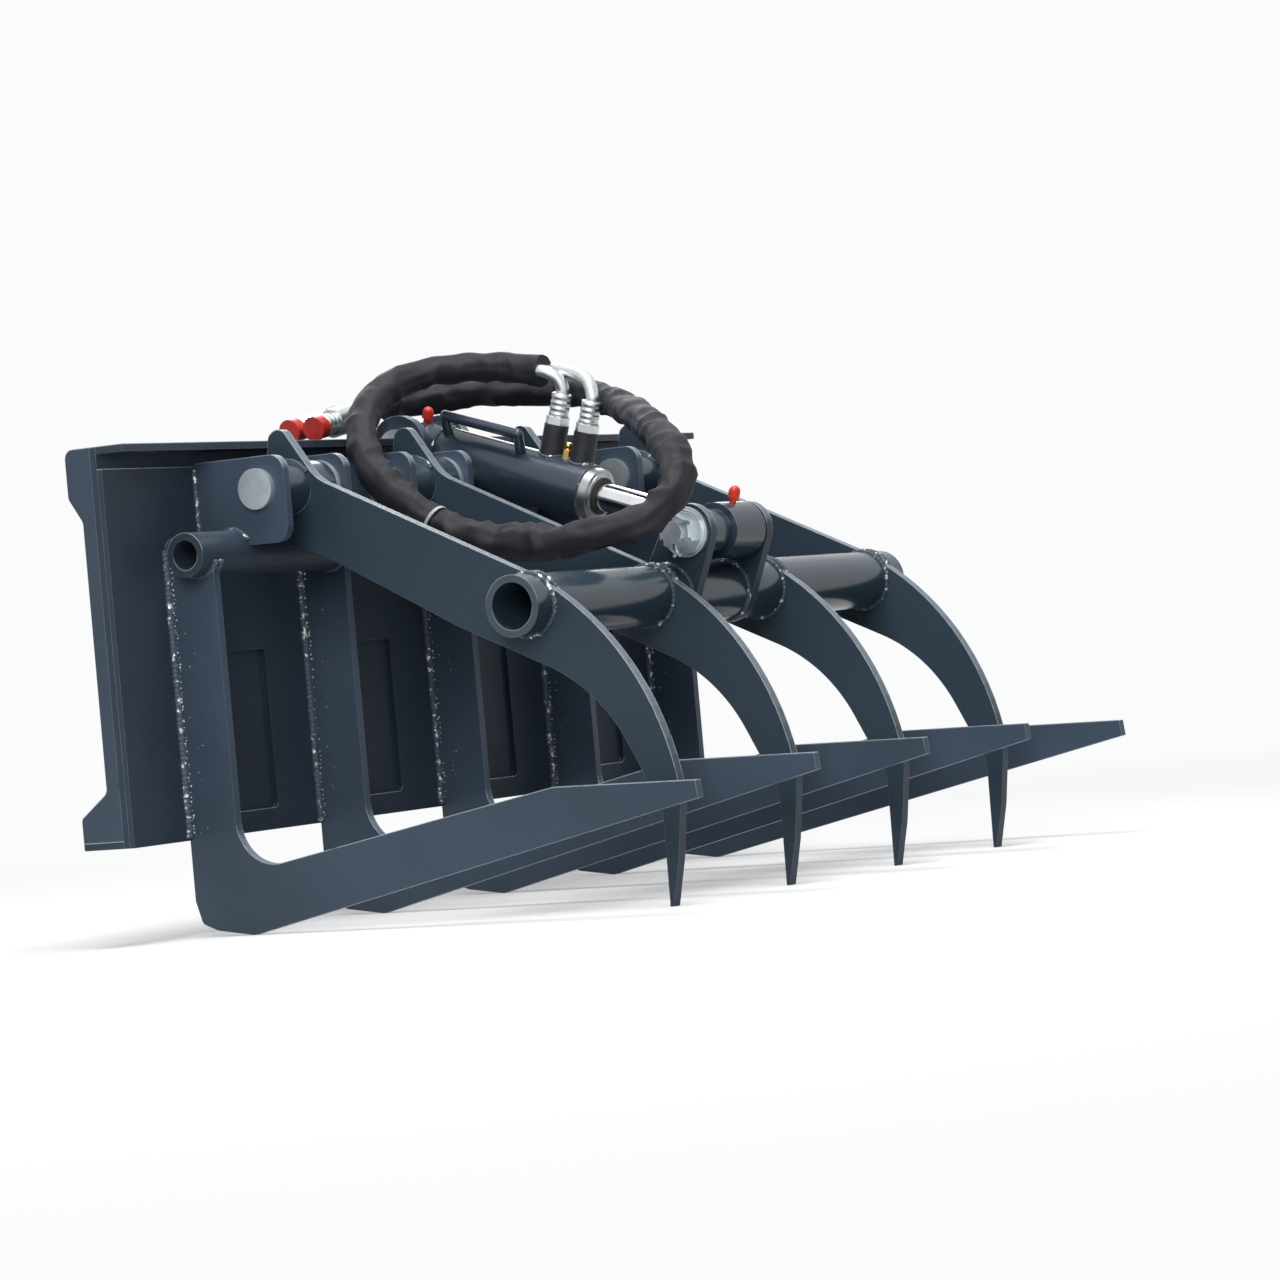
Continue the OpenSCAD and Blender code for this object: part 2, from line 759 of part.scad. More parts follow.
// The space that the top tube sweeps past the arm while the jaw opens
module tube_relief() {
    d = tube_c - hinge_c;
    at = atan2(d[1], d[0]);
    reach = norm(d);
    clear_r = top_tube_od / 2 + tube_clearance;
    side = asin(clear_r / reach);
    inner = reach - clear_r;
    outer = reach + top_tube_od;
    start = at - jaw_open - side;
    polygon([
        for (i = [0 : arc_steps]) polar(inner, start + (at - start) * i / arc_steps),
        for (i = [0 : arc_steps]) polar(outer, at + (start - at) * i / arc_steps)
    ]);
    translate(d) circle(r = clear_r);
}

module arm(i) {
    x = arm_xs[i];
    color(paint) placed() difference() {
        side_plate(x, arm_t) translate(hinge_c) difference() {
            arm_outline();
            tube_relief();
        }
        cross_bar(hinge_c, boss_od, x - arm_t, x + arm_t);
        cross_bar(cross_c, cross_tube_od, x - arm_t, x + arm_t);
    }
}

module arm_1() { arm(0); }
module arm_2() { arm(1); }
module arm_3() { arm(2); }
module arm_4() { arm(3); }

module pivot_bosses() {
    color(paint) placed() for (x = arm_xs)
        ring(hinge_c, boss_od, bushing_od + 2 * running_gap, x - boss_half, x + boss_half);
}

module hinge_bushings() {
    color(bronze_c) placed() for (x = arm_xs)
        ring(hinge_c, bushing_od, hinge_pin_d + 2 * running_gap, x - boss_half, x + boss_half);
}

module cross_tube() {
    half = arm_xs[3] + arm_t / 2 + cross_tube_overhang;
    color(paint) placed()
        ring(cross_c, cross_tube_od, cross_tube_od - 2 * cross_tube_wall, -half, half);
}

// Side view of a strap that joins circles a and b of radii ra and rb
module strap(a, ra, b, rb) {
    d = b - a;
    at = atan2(d[1], d[0]);
    lean = acos((ra - rb) / norm(d));
    translate(a) circle(r = ra);
    translate(b) circle(r = rb);
    polygon([
        a + polar(ra, at + lean), a + polar(ra, at - lean),
        b + polar(rb, at - lean), b + polar(rb, at + lean)
    ]);
}

module clevis_lug(x0) {
    color(paint) placed() difference() {
        side_plate(x0 + lug_t / 2, lug_t)
            strap(front_c, lug_r, cross_c, cross_tube_od / 2 + lug_foot);
        cross_bar(cross_c, cross_tube_od, x0 - over, x0 + lug_t + over);
        cross_bar(front_c, cyl_pin_d + 2 * running_gap, x0 - over, x0 + lug_t + over);
    }
}

module clevis_lug_near() { clevis_lug(clevis_near_face); }
module clevis_lug_far() { clevis_lug(clevis_far_x); }

module clevis_pin() {
    color(zinc) placed() cylinder_pin(front_c, clevis_near_face, clevis_far_x + lug_t);
}

module clevis_spacer() {
    color(paint) placed() ring(front_c, spacer_od, cyl_pin_d + 2 * running_gap,
        clevis_near_x, clevis_near_x + spacer_len);
}

module clevis_washers() { color(zinc) placed() cylinder_washers(front_c, clevis_near_face); }
module clevis_castle_nut() { color(zinc) placed() castle_nut(front_c, clevis_near_face); }

module clevis_split_pin() {
    color(zinc) placed()
        split_pin(front_c, nut_pin_x(clevis_near_face), cyl_nut_af / cos(30), nut_pin_share * split_pin_d);
}

module barrel() {
    color(paint) placed() on_cylinder() difference() {
        axis_bar(barrel_od, cap_end, barrel_end);
        axis_bar(bore_d, cap_end - over, barrel_end + over);
    }
}

// The barrel's rear cap, hollowed to sit on the eye
module barrel_cap() {
    color(paint) placed() difference() {
        on_cylinder() axis_bar(barrel_od, cap_start, cap_end);
        cross_bar(rear_c, rear_eye_od, -barrel_od, barrel_od);
    }
}

module rear_eye() {
    color(paint) placed() ring(rear_c, rear_eye_od, cyl_pin_d + 2 * running_gap,
        -rear_eye_w / 2, rear_eye_w / 2);
}

module gland() {
    color(zinc) placed() on_cylinder() difference() {
        union() {
            axis_bar(bore_d - 2 * slide_gap, barrel_end - gland_inner, barrel_end);
            axis_bar(gland_od, barrel_end, barrel_end + gland_out - gland_groove);
            axis_bar(gland_od - 2 * gland_groove, barrel_end, barrel_end + gland_out);
        }
        axis_bar(rod_d + 2 * slide_gap, barrel_end - gland_inner - over, barrel_end + gland_out + over);
        axis_bar(wiper_d, barrel_end + gland_out - wiper_t, barrel_end + gland_out + over);
    }
}

// The wiper ring that sits in the gland's mouth round the rod
module rod_wiper() {
    color(black_c) placed() on_cylinder() difference() {
        axis_bar(wiper_d, barrel_end + gland_out - wiper_t, barrel_end + gland_out + wiper_lip);
        axis_bar(rod_d + slide_gap, barrel_end, barrel_end + gland_out + 2 * wiper_lip);
    }
}

// Stands children upright on the barrel at distance s from the rear pin
module on_barrel_top(s) {
    on_cylinder() translate([s, 0, 0]) children();
}

port_seat_r = barrel_od / 2 - port_seat;

module port_bosses() {
    color(black_c) placed() difference() {
        for (s = [port_1_at, port_1_at + port_step])
            on_barrel_top(s) translate([0, 0, port_seat_r])
                cylinder(h = port_top - port_seat_r, d = port_d);
        on_cylinder() axis_bar(barrel_od, cap_end, barrel_end);
    }
}

// Steel line along the far side of the barrel, from the ports back to the base end
module hard_line() {
    r = barrel_od / 2 + line_out;
    color(paint) placed() difference() {
        on_cylinder() rotate([line_side_deg, 0, 0]) union() {
            translate([0, 0, r]) axis_bar(line_d, line_rear, line_front);
            for (s = [line_rear, line_front])
                translate([s, 0, r]) sphere(d = line_d, $fn = 32);
            for (s = [line_rear, line_front])
                translate([s, 0, port_seat_r]) cylinder(h = r - port_seat_r, d = line_d);
        }
        on_cylinder() axis_bar(barrel_od, cap_end, barrel_end);
    }
}

// A grease nipple with its cap, standing on the local Z axis; its root sinks below height r
module nipple(r) {
    translate([0, 0, r]) {
        translate([0, 0, -over]) cylinder(h = nipple_h + over, d = nipple_d, $fn = 24);
        translate([0, 0, nipple_h]) cylinder(h = cap_h - cap_d / 2, d = cap_d, $fn = 32);
        translate([0, 0, nipple_h + cap_h - cap_d / 2]) sphere(d = cap_d, $fn = 32);
    }
}

module rear_grease_nipple() {
    color(red_c) placed() difference() {
        on_barrel_top(0) nipple(rear_eye_od / 2);
        cross_bar(rear_c, rear_eye_od, -barrel_od, barrel_od);
    }
}

module front_grease_nipple() {
    color(red_c) placed() difference() {
        on_barrel_top(cyl_len) nipple(rod_eye_od / 2);
        cross_bar(front_c, rod_eye_od, -barrel_od, barrel_od);
    }
}

// The crimped hose ends that screw into the ports
module hose_fittings() {
    color(zinc) placed() for (s = [port_1_at, port_1_at + port_step])
        on_barrel_top(s) translate([0, 0, port_top]) {
            cylinder(h = hex_t, d = ferrule_hex / cos(30), $fn = 6);
            translate([0, 0, hex_t]) cylinder(h = ferrule_len - hex_t, d = ferrule_d);
        }
}

rod_end = cyl_len - rod_eye_od / 4;
piston_front = barrel_end - gland_inner - piston_rest_gap;
piston_back = piston_front - piston_len;

module piston_rod() {
    color(chrome_c) placed() difference() {
        on_cylinder() union() {
            axis_bar(rod_d, piston_front, rod_end);
            axis_bar(spigot_d, piston_back - spigot_nut_t - side_gap, piston_front + over);
        }
        cross_bar(front_c, rod_eye_od, -barrel_od, barrel_od);
    }
}

// The piston with its seal grooves, and the nut that holds it on the rod
module piston() {
    groove_w = groove_width_share * piston_len;
    color(zinc) placed() on_cylinder() {
        difference() {
            axis_bar(bore_d - 2 * slide_gap, piston_back, piston_front);
            axis_bar(spigot_d + 2 * running_gap, piston_back - over, piston_front + over);
            for (share = groove_start_shares) translate([share * piston_len, 0, 0]) difference() {
                axis_bar(bore_d, piston_back, piston_back + groove_w);
                axis_bar(bore_d - 2 * seal_groove, piston_back - over, piston_front + over);
            }
        }
        difference() {
            axis_bar(spigot_nut_d, piston_back - spigot_nut_t, piston_back);
            axis_bar(spigot_d + 2 * running_gap, piston_back - spigot_nut_t - over, piston_back + over);
        }
    }
}

module rod_eye() {
    color(paint) placed()
        ring(front_c, rod_eye_od, cyl_pin_d + 2 * open_pivot_gap, -rod_eye_w / 2, rod_eye_w / 2);
}

// Point on a smooth curve through p1 and p2, with their neighbours p0 and p3
function curve_point(p0, p1, p2, p3, t) =
    0.5 * (2 * p1 + (p2 - p0) * t + (2 * p0 - 5 * p1 + 4 * p2 - p3) * t * t
    + (3 * p1 - p0 - 3 * p2 + p3) * t * t * t);

// The route with points added between, smoothed through every route point
function smooth(pts, n) =
    let (last = len(pts) - 1)
    [for (i = [0 : last - 1], j = [0 : n - 1])
        curve_point(pts[max(0, i - 1)], pts[i], pts[i + 1], pts[min(last, i + 2)], j / n),
     pts[last]];

// Turns a [forward, sideways, up] point into the model's axes
function xyz(p) = [p[1], -p[0], p[2]];

function unit(v) = v / norm(v);
function heading(pts, i) = unit(pts[min(i + 1, len(pts) - 1)] - pts[max(i - 1, 0)]);

// Side vectors carried along the route without twist
function carried(pts, i, side) =
    i >= len(pts) ? [] :
    let (h = heading(pts, i), s = unit(side - h * (side * h)))
    concat([s], carried(pts, i + 1, s));

// A closed round tube swept along a route
module tube_along(pts, d, sides) {
    n = len(pts);
    first_side = abs(heading(pts, 0)[2]) > steep_share ? [0, 1, 0] : [0, 0, 1];
    side = carried(pts, 0, first_side);
    ring_points = [for (i = [0 : n - 1], k = [0 : sides - 1])
        let (h = heading(pts, i), a = 360 * k / sides)
        pts[i] + d / 2 * (side[i] * cos(a) + cross(h, side[i]) * sin(a))];
    walls = [for (i = [0 : n - 2], k = [0 : sides - 1])
        let (a = i * sides + k, b = i * sides + (k + 1) % sides)
        each [[a, a + sides, b + sides], [a, b + sides, b]]];
    ends = [[for (k = [0 : sides - 1]) k],
        [for (k = [sides - 1 : -1 : 0]) (n - 1) * sides + k]];
    polyhedron(concat(ring_points, [pts[0], pts[n - 1]]), concat(walls,
        [for (k = [0 : sides - 1]) [(k + 1) % sides, n * sides, k]],
        [for (k = [0 : sides - 1]) [(n - 1) * sides + k, n * sides + 1, (n - 1) * sides + (k + 1) % sides]]));
}

sleeve_points = [for (p = smooth(sleeve_route, 3)) xyz(p)];

module hose_sleeve() {
    color(black_c) placed() tube_along(sleeve_points, sleeve_d, tube_sides);
}

// Points of a side-view distance s and height r on the cylinder, in [forward, sideways, up]
function at_cylinder(s, x, r) =
    let (up = [-cyl_dir[1], cyl_dir[0]], p = rear_c + cyl_dir * s + up * r) [p[0], x, p[1]];

elbow_start = port_top + ferrule_len;
mouth = sleeve_route[0];
sleeve_end = sleeve_route[len(sleeve_route) - 1];
hose_side = (sleeve_d - hose_d) / 2;
// How far each point of an elbow has gone from its fitting to the sleeve's mouth: back, up, aside
elbow_shares = [[0.09, 0.58, 0.3], [0.43, 0.85, 0.8], [0.78, 0.97, 1]];

// The bent steel end of a hose, from its fitting into the mouth of the sleeve
function elbow_route(s, x) =
    let (a = at_cylinder(s, 0, elbow_start), b = at_cylinder(s, 0, elbow_start + hose_d / 3))
    [a, b, for (e = elbow_shares) [a[0] + e[0] * (mouth[0] - a[0]), e[2] * x, a[2] + e[1] * (mouth[2] - a[2])],
     [mouth[0], x, mouth[2]]];

module hose_elbows() {
    color(zinc) placed() for (e = [[port_1_at, -hose_side], [port_1_at + port_step, hose_side]])
        tube_along([for (p = smooth(elbow_route(e[0], e[1]), 3)) xyz(p)], hose_d, tube_sides);
}

cap_reach = coupler_len + cap_len + cap_rim_t;
cap_rim_d = coupler_d + cap_rim_t;
coupler_up = plate_top + coupler_lift + cap_rim_d / 2 + cap_reach * sin(coupler_tilt);
coupler_fwds = [coupler_mid - coupler_step / 2, coupler_mid + coupler_step / 2];

// Puts children at a coupler's hose end, with the coupler running down along local -X
module at_coupler(fwd) {
    translate([coupler_x, -fwd, coupler_up]) rotate([0, -coupler_tilt, 0]) children();
}

// A round bar along local X
module bar(d, x0, x1, sides = 64) {
    translate([x0, 0, 0]) rotate([0, 90, 0]) cylinder(h = x1 - x0, d = d, $fn = sides);
}

// The two hose ends between the sleeve and the couplers
module coupler_hoses() {
    start_x = sleeve_end[1] - side_gap;
    run = hose_lead_share * (start_x - coupler_x);
    stub = [0, -run / 2, 0];
    lead = [0, -run, -run * tan(coupler_tilt)];
    color(black_c) placed() for (side = [-1, 1]) {
        a = [sleeve_end[0] + side * hose_side, start_x, sleeve_end[2]];
        b = [coupler_mid + side * coupler_step / 2, coupler_x, coupler_up];
        middle = (a + 2 * stub + b - lead) / 2;
        tube_along([for (p = smooth([a, a + stub, a + 2 * stub, middle, b - lead, b], 2)) xyz(p)],
            hose_d, tube_sides);
    }
}

module quick_couplers() {
    color(zinc) placed() for (fwd = coupler_fwds) at_coupler(fwd) {
        bar(coupler_tail_share * coupler_d, -coupler_hex_at, 0);
        bar(coupler_d / cos(30), -coupler_hex_at - coupler_hex_t, -coupler_hex_at, 6);
        bar(coupler_d, -coupler_len, -coupler_hex_at - coupler_hex_t);
        bar(coupler_nose_d, -coupler_len - cap_len, -coupler_len);
    }
}

module coupler_collar() {
    color(zinc) placed() at_coupler(coupler_fwds[1]) difference() {
        bar(collar_d, -collar_at - collar_travel - collar_len, -collar_at - collar_travel);
        bar(coupler_d + 2 * slide_gap, -coupler_len, 0);
    }
}

module dust_caps() {
    color(red_c) placed() for (fwd = coupler_fwds) at_coupler(fwd) difference() {
        union() {
            bar(coupler_d, -cap_reach, -coupler_len - slide_gap);
            bar(cap_rim_d, -cap_reach, -cap_reach + cap_rim_t);
        }
        bar(coupler_nose_d + 2 * slide_gap, -coupler_len - cap_len - slide_gap, 0);
    }
}

back_sheet();
quick_attach_plate();
bottom_flange();
top_hook();
top_lip();
end_gussets();
tine_1();
tine_2();
tine_3();
tine_4();
tine_5();
top_tube();
ear_pair_1();
ear_pair_2();
ear_pair_3();
ear_pair_4();
hinge_pin_1();
hinge_pin_2();
hinge_pin_3();
hinge_pin_4();
thrust_washers();
hinge_end_washers();
hinge_split_pins();
rear_lug_near();
rear_lug_far();
rear_pin();
rear_circlip();
arm_1();
arm_2();
arm_3();
arm_4();
pivot_bosses();
hinge_bushings();
cross_tube();
clevis_lug_near();
clevis_lug_far();
clevis_pin();
clevis_spacer();
clevis_washers();
clevis_castle_nut();
clevis_split_pin();
barrel();
barrel_cap();
rear_eye();
gland();
rod_wiper();
port_bosses();
hard_line();
rear_grease_nipple();
hose_fittings();
piston_rod();
piston();
rod_eye();
front_grease_nipple();
hose_sleeve();
hose_elbows();
coupler_hoses();
quick_couplers();
coupler_collar();
dust_caps();
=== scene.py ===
"""Finish, welds, hoses and stage for a skid-steer log grapple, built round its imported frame."""
import json
import math
import random

import bmesh
import bpy
from mathutils import Matrix, Vector, noise


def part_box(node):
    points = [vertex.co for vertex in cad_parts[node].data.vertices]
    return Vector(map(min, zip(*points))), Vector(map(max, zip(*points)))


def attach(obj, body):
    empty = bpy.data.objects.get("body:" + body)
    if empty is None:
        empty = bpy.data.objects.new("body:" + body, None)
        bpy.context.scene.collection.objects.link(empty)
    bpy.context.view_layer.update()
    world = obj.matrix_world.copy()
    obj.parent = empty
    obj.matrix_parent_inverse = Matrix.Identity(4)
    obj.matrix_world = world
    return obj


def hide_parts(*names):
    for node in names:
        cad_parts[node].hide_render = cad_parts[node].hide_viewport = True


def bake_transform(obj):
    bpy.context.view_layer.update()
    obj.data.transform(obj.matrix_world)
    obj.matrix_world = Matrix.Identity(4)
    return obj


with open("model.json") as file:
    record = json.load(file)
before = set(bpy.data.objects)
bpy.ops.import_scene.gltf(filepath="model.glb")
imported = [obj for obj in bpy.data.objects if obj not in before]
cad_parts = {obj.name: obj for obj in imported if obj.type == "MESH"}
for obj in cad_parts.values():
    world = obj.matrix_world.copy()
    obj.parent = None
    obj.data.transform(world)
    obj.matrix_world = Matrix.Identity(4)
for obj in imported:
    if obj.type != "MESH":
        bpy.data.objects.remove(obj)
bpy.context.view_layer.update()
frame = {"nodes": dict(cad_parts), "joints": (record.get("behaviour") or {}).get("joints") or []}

bl_info = {
    "name": "Log Grapple Finish",
    "version": (1, 0, 0),
    "blender": (4, 5, 0),
    "location": "View3D > Sidebar > Grapple",
    "description": "Paint, plating, weld beads, sleeved hoses and a stage for a log grapple",
    "category": "Object",
}

MM = 0.001
TINES = [f"tine_{i}" for i in range(1, 6)]
ARMS = [f"arm_{i}" for i in range(1, 5)]
EAR_PAIRS = [f"ear_pair_{i}" for i in range(1, 5)]


def low(node):
    """Lowest corner of a frame node."""
    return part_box(node)[0]


def high(node):
    """Highest corner of a frame node."""
    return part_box(node)[1]


def middle(node):
    """Centre of a frame node's box."""
    return (low(node) + high(node)) / 2


def joint(name):
    """A joint of the frame by name."""
    return next(j for j in frame["joints"] if j["name"] == name)


# Reach of a tine from its heel to its tip, as in the part's source
TINE_REACH = 568 * MM
# Radius of a tine's upper rear corner, which its weld stops short of
HORN_R = 12 * MM
# Thickness of an ear, and the radius of its lower corner
EAR_T = 10 * MM
EAR_R = 18 * MM
# Thickness of a gusset and of the hook
GUSSET_T = 8 * MM
HOOK_T = 10 * MM
# Where the barrel meets its cap and where it ends, from the rear pin, and the gland's step there
CAP_END = 34 * MM
BARREL_END = 237 * MM
GLAND_STEP = 2.5 * MM
# Radius of a port boss
PORT_R = 14 * MM
# Length of a step along a weld bead, along the sleeve and along a bare hose or elbow
BEAD_STEP = 1.3 * MM
SLEEVE_STEP = 2.6 * MM
HOSE_STEP = 1.5 * MM
# How far a bead stops short of a plate's end
BEAD_STOP = 2 * MM

# Places read off the frame, in metres
SHEET_Y = low("back_sheet").y
PLATE_BACK_Y = high("quick_attach_plate").y
HEEL_Y = low("tine_1").y + TINE_REACH
HINGE = Vector(joint("jaw_hinge")["pos_m"])
REAR_PIN = Vector(joint("barrel_swing")["pos_m"])
CYLINDER_AXIS = -Vector(joint("rod_slide")["axis"])
CYLINDER_UP = Vector((0, CYLINDER_AXIS.z, -CYLINDER_AXIS.y))
ALONG_X = Vector((1, 0, 0))

# Sizes of the hose parts, as in the part's source
SLEEVE_R = 16.5 * MM
HOSE_R = 7.5 * MM
PORTS = (177 * MM, 218 * MM)
PORT_TOP = 66 * MM
FERRULE_LEN = 36 * MM
FERRULE_R = 11.5 * MM
HEX_AF = 24 * MM
HEX_LEN = 10 * MM
HOSE_SIDE = SLEEVE_R - HOSE_R
COUPLER_TILT = math.radians(10)
COUPLER_X = -66 * MM
COUPLER_MID = -95 * MM
COUPLER_STEP = 34 * MM
COUPLER_R = 13 * MM
COUPLER_LEN = 104 * MM
CAP_LEN = 14 * MM
CAP_RIM = 2 * MM
SIDE_GAP = 1 * MM
HOSE_LEAD_SHARE = 0.25

# The sleeve's route in metres: forward of the heels, sideways and up
SLEEVE_ROUTE = [
    (0.114, 0.000, 0.588), (0.092, -0.001, 0.592), (0.060, -0.006, 0.598), (0.019, -0.022, 0.601),
    (-0.014, -0.060, 0.597), (-0.032, -0.105, 0.580), (-0.030, -0.150, 0.555), (-0.008, -0.191, 0.520),
    (0.025, -0.210, 0.480), (0.070, -0.214, 0.442), (0.130, -0.216, 0.408), (0.200, -0.216, 0.393),
    (0.265, -0.212, 0.390), (0.320, -0.199, 0.394), (0.358, -0.178, 0.408), (0.375, -0.152, 0.438),
    (0.357, -0.124, 0.469), (0.320, -0.090, 0.494), (0.266, -0.040, 0.519), (0.208, 0.012, 0.539),
    (0.153, 0.042, 0.555), (0.096, 0.057, 0.566), (0.045, 0.064, 0.572), (-0.003, 0.068, 0.576),
    (-0.036, 0.067, 0.578), (-0.059, 0.061, 0.577), (-0.079, 0.047, 0.574), (-0.092, 0.028, 0.572),
    (-0.096, 0.007, 0.571), (-0.096, -0.012, 0.571),
]
# Where the cable tie sits, given as the route's points are
TIE_PLACE = (0.1, -0.215, 0.425)
# How far each point of an elbow has gone from its fitting to the sleeve's mouth: back, up, aside
ELBOW_SHARES = ((0.09, 0.58, 0.3), (0.43, 0.85, 0.8), (0.78, 0.97, 1.0))


def placed(forward, sideways, up):
    """A point given forward of the heels, sideways and up, in the frame's axes."""
    return Vector((sideways, HEEL_Y - forward, up))


class Value:
    """A value that varies over a surface: a node's socket, with arithmetic that adds Math nodes."""

    def __init__(self, shading, socket):
        self.shading = shading
        self.socket = socket

    def __add__(self, other):
        return self.shading.math("ADD", self, other)

    __radd__ = __add__

    def __sub__(self, other):
        return self.shading.math("SUBTRACT", self, other)

    def __rsub__(self, other):
        return self.shading.math("SUBTRACT", other, self)

    def __mul__(self, other):
        return self.shading.math("MULTIPLY", self, other)

    __rmul__ = __mul__

    def __abs__(self):
        return self.shading.math("ABSOLUTE", self)

    def ramp(self, start, end):
        """0 below start and 1 above end, smooth between; start may be the larger one."""
        return self.shading.node(
            "ShaderNodeMapRange", {"interpolation_type": "SMOOTHSTEP"},
            {"Value": self, "From Min": start, "From Max": end})


class Shading:
    """A node tree in the making."""

    def __init__(self, tree):
        self.tree = tree

    def node(self, kind, settings=None, values=None, out=0):
        """Adds a node: its settings first, then the values or links of its sockets."""
        node = self.tree.nodes.new(kind)
        for key, value in (settings or {}).items():
            setattr(node, key, value)
        for key, value in (values or {}).items():
            if isinstance(value, Value):
                self.tree.links.new(value.socket, node.inputs[key])
            else:
                node.inputs[key].default_value = value
        return Value(self, node.outputs[out])

    def math(self, operation, *terms):
        return self.node("ShaderNodeMath", {"operation": operation}, dict(enumerate(terms)))

    def vector(self, operation, *terms, out=0):
        return self.node("ShaderNodeVectorMath", {"operation": operation}, dict(enumerate(terms)), out)

    def seen(self):
        """1 for what the camera sees, also in a mirror or through glass, and 0 for other rays."""
        seen = self.node("ShaderNodeLightPath", out="Is Camera Ray")
        for ray in ("Is Glossy Ray", "Is Transmission Ray"):
            seen = self.math("MAXIMUM", seen, self.node("ShaderNodeLightPath", out=ray))
        return seen


class Finish(Shading):
    """A material in the making. Uniform values are set on the shader's own sockets."""

    def __init__(self, name, **uniform):
        self.material = bpy.data.materials.new(name)
        self.material.use_nodes = True
        super().__init__(self.material.node_tree)
        self.shader = self.tree.nodes["Principled BSDF"]
        for socket, value in uniform.items():
            self.shader.inputs[socket.replace("_", " ")].default_value = value
        self.place = self.node("ShaderNodeTexCoord", out="Object")

    def mix(self, factor, first, second):
        """Mixes two colours."""
        return self.node("ShaderNodeMix", {"data_type": "RGBA"}, {0: factor, 6: first, 7: second}, out=2)

    def noise(self, scale, detail=2.0, stretch=(1, 1, 1)):
        """Cloudy noise in the piece's own space, stretched along its axes."""
        place = self.vector("MULTIPLY", self.place, stretch)
        return self.node("ShaderNodeTexNoise", None, {"Vector": place, "Scale": scale, "Detail": detail})

    def facing(self, axis):
        """How far the surface faces along an axis, from -1 to 1."""
        normal = self.node("ShaderNodeNewGeometry", out="Normal")
        return self.vector("DOT_PRODUCT", normal, axis, out="Value")

    def edges(self, radius, upward=False):
        """0 on flat faces, rising to about 0.3 on an edge; upward keeps the edges that face up."""
        normal = self.node("ShaderNodeNewGeometry", out="Normal")
        rounded = self.node("ShaderNodeBevel", {"samples": 6}, {"Radius": radius})
        edge = 1 - self.vector("DOT_PRODUCT", normal, rounded, out="Value")
        if not upward:
            return edge
        lift = self.vector("DOT_PRODUCT", rounded, (0, 0, 1), out="Value")
        return edge * (0.12 + 0.88 * lift.ramp(0.02, 0.3))

    def feed(self, **inputs):
        """Links varying values to the shader's sockets."""
        for socket, value in inputs.items():
            self.tree.links.new(value.socket, self.shader.inputs[socket.replace("_", " ")])

    def bump(self, height, distance, strength=1.0):
        """Feeds a height to the shader's normal."""
        normal = self.node("ShaderNodeBump", None,
                           {"Strength": strength, "Distance": distance, "Height": height})
        self.feed(Normal=normal)


def colour(rgb):
    """A colour with full alpha."""
    return (*rgb, 1.0)


def scaled(rgb, share):
    """A lighter or darker shade of a colour."""
    return tuple(min(1.0, c * share) for c in rgb)


def painted_steel(name, rgb, wear_and_highlight_rgb, roughness=0.36, specular=0.22, painted_cut_face_highlight=True, edge_wear_and_highlight=1.0):
    """Satin paint: edges rubbed to silvery steel, more on the upper ones as a painted highlight, cut faces
    that face up painted lighter as a painted highlight, and a little dust on top.
    """
    finish = Finish(name, Specular_IOR_Level=specular)
    cloud = finish.noise(5, 3)
    fine = finish.noise(90, 4)
    upward = finish.facing((0, 0, 1))
    base = finish.mix(cloud.ramp(0.3, 0.7), colour(scaled(rgb, 0.86)), colour(scaled(rgb, 1.12)))
    # Painted highlight: cut faces that face up are mixed towards the edge colour, as if lit from above.
    if painted_cut_face_highlight:
        side = abs(finish.facing((1, 0, 0)))
        grain = finish.noise(160, 2, (1, 1, 0.2)).ramp(0.1, 0.6)
        painted_top_highlight = side.ramp(0.6, 0.3) * upward.ramp(0.15, 0.5) * (0.1 + 0.2 * grain)
        base = finish.mix(painted_top_highlight, base, colour(scaled(wear_and_highlight_rgb, 0.8)))
    dust = upward.ramp(0.7, 0.98) * finish.noise(14, 4).ramp(0.4, 0.75) * 0.22
    base = finish.mix(dust, base, colour((0.34, 0.33, 0.31)))
    # Bare steel on rubbed edges, part real wear and part painted highlight: edges that face up count almost
    # fully, the others at 0.12.
    bare = finish.edges(2.2 * MM, upward=True).ramp(0.02, 0.11) * finish.noise(55, 3).ramp(0.2, 0.45) * edge_wear_and_highlight
    finish.feed(
        Base_Color=finish.mix(bare, base, colour(wear_and_highlight_rgb)),
        Metallic=bare * 0.75,
        Roughness=roughness + 0.1 * fine + 0.12 * dust - 0.08 * bare,
    )
    finish.bump(finish.noise(420, 2) + 0.6 * fine - 1.4 * bare, 0.12 * MM, 0.4)
    return finish.material


def plated_steel(name, rgb, roughness=0.32):
    """Zinc plate: pale, faintly blotched, with a fine brushed grain."""
    finish = Finish(name, Metallic=1.0, Anisotropic=0.2)
    blotch = finish.noise(45, 3)
    grain = finish.noise(900, 2, (0.1, 1, 1))
    dull = colour((rgb[0] * 0.8, rgb[1] * 0.82, rgb[2] * 0.8))
    tone = finish.mix(blotch.ramp(0.35, 0.7), colour(rgb), dull)
    edge = finish.edges(1.2 * MM).ramp(0.03, 0.2)
    finish.feed(
        Base_Color=finish.mix(edge * 0.6, tone, colour(scaled(rgb, 1.25))),
        Roughness=roughness + 0.12 * blotch + 0.06 * grain,
    )
    finish.bump(grain, 0.02 * MM, 0.2)
    return finish.material


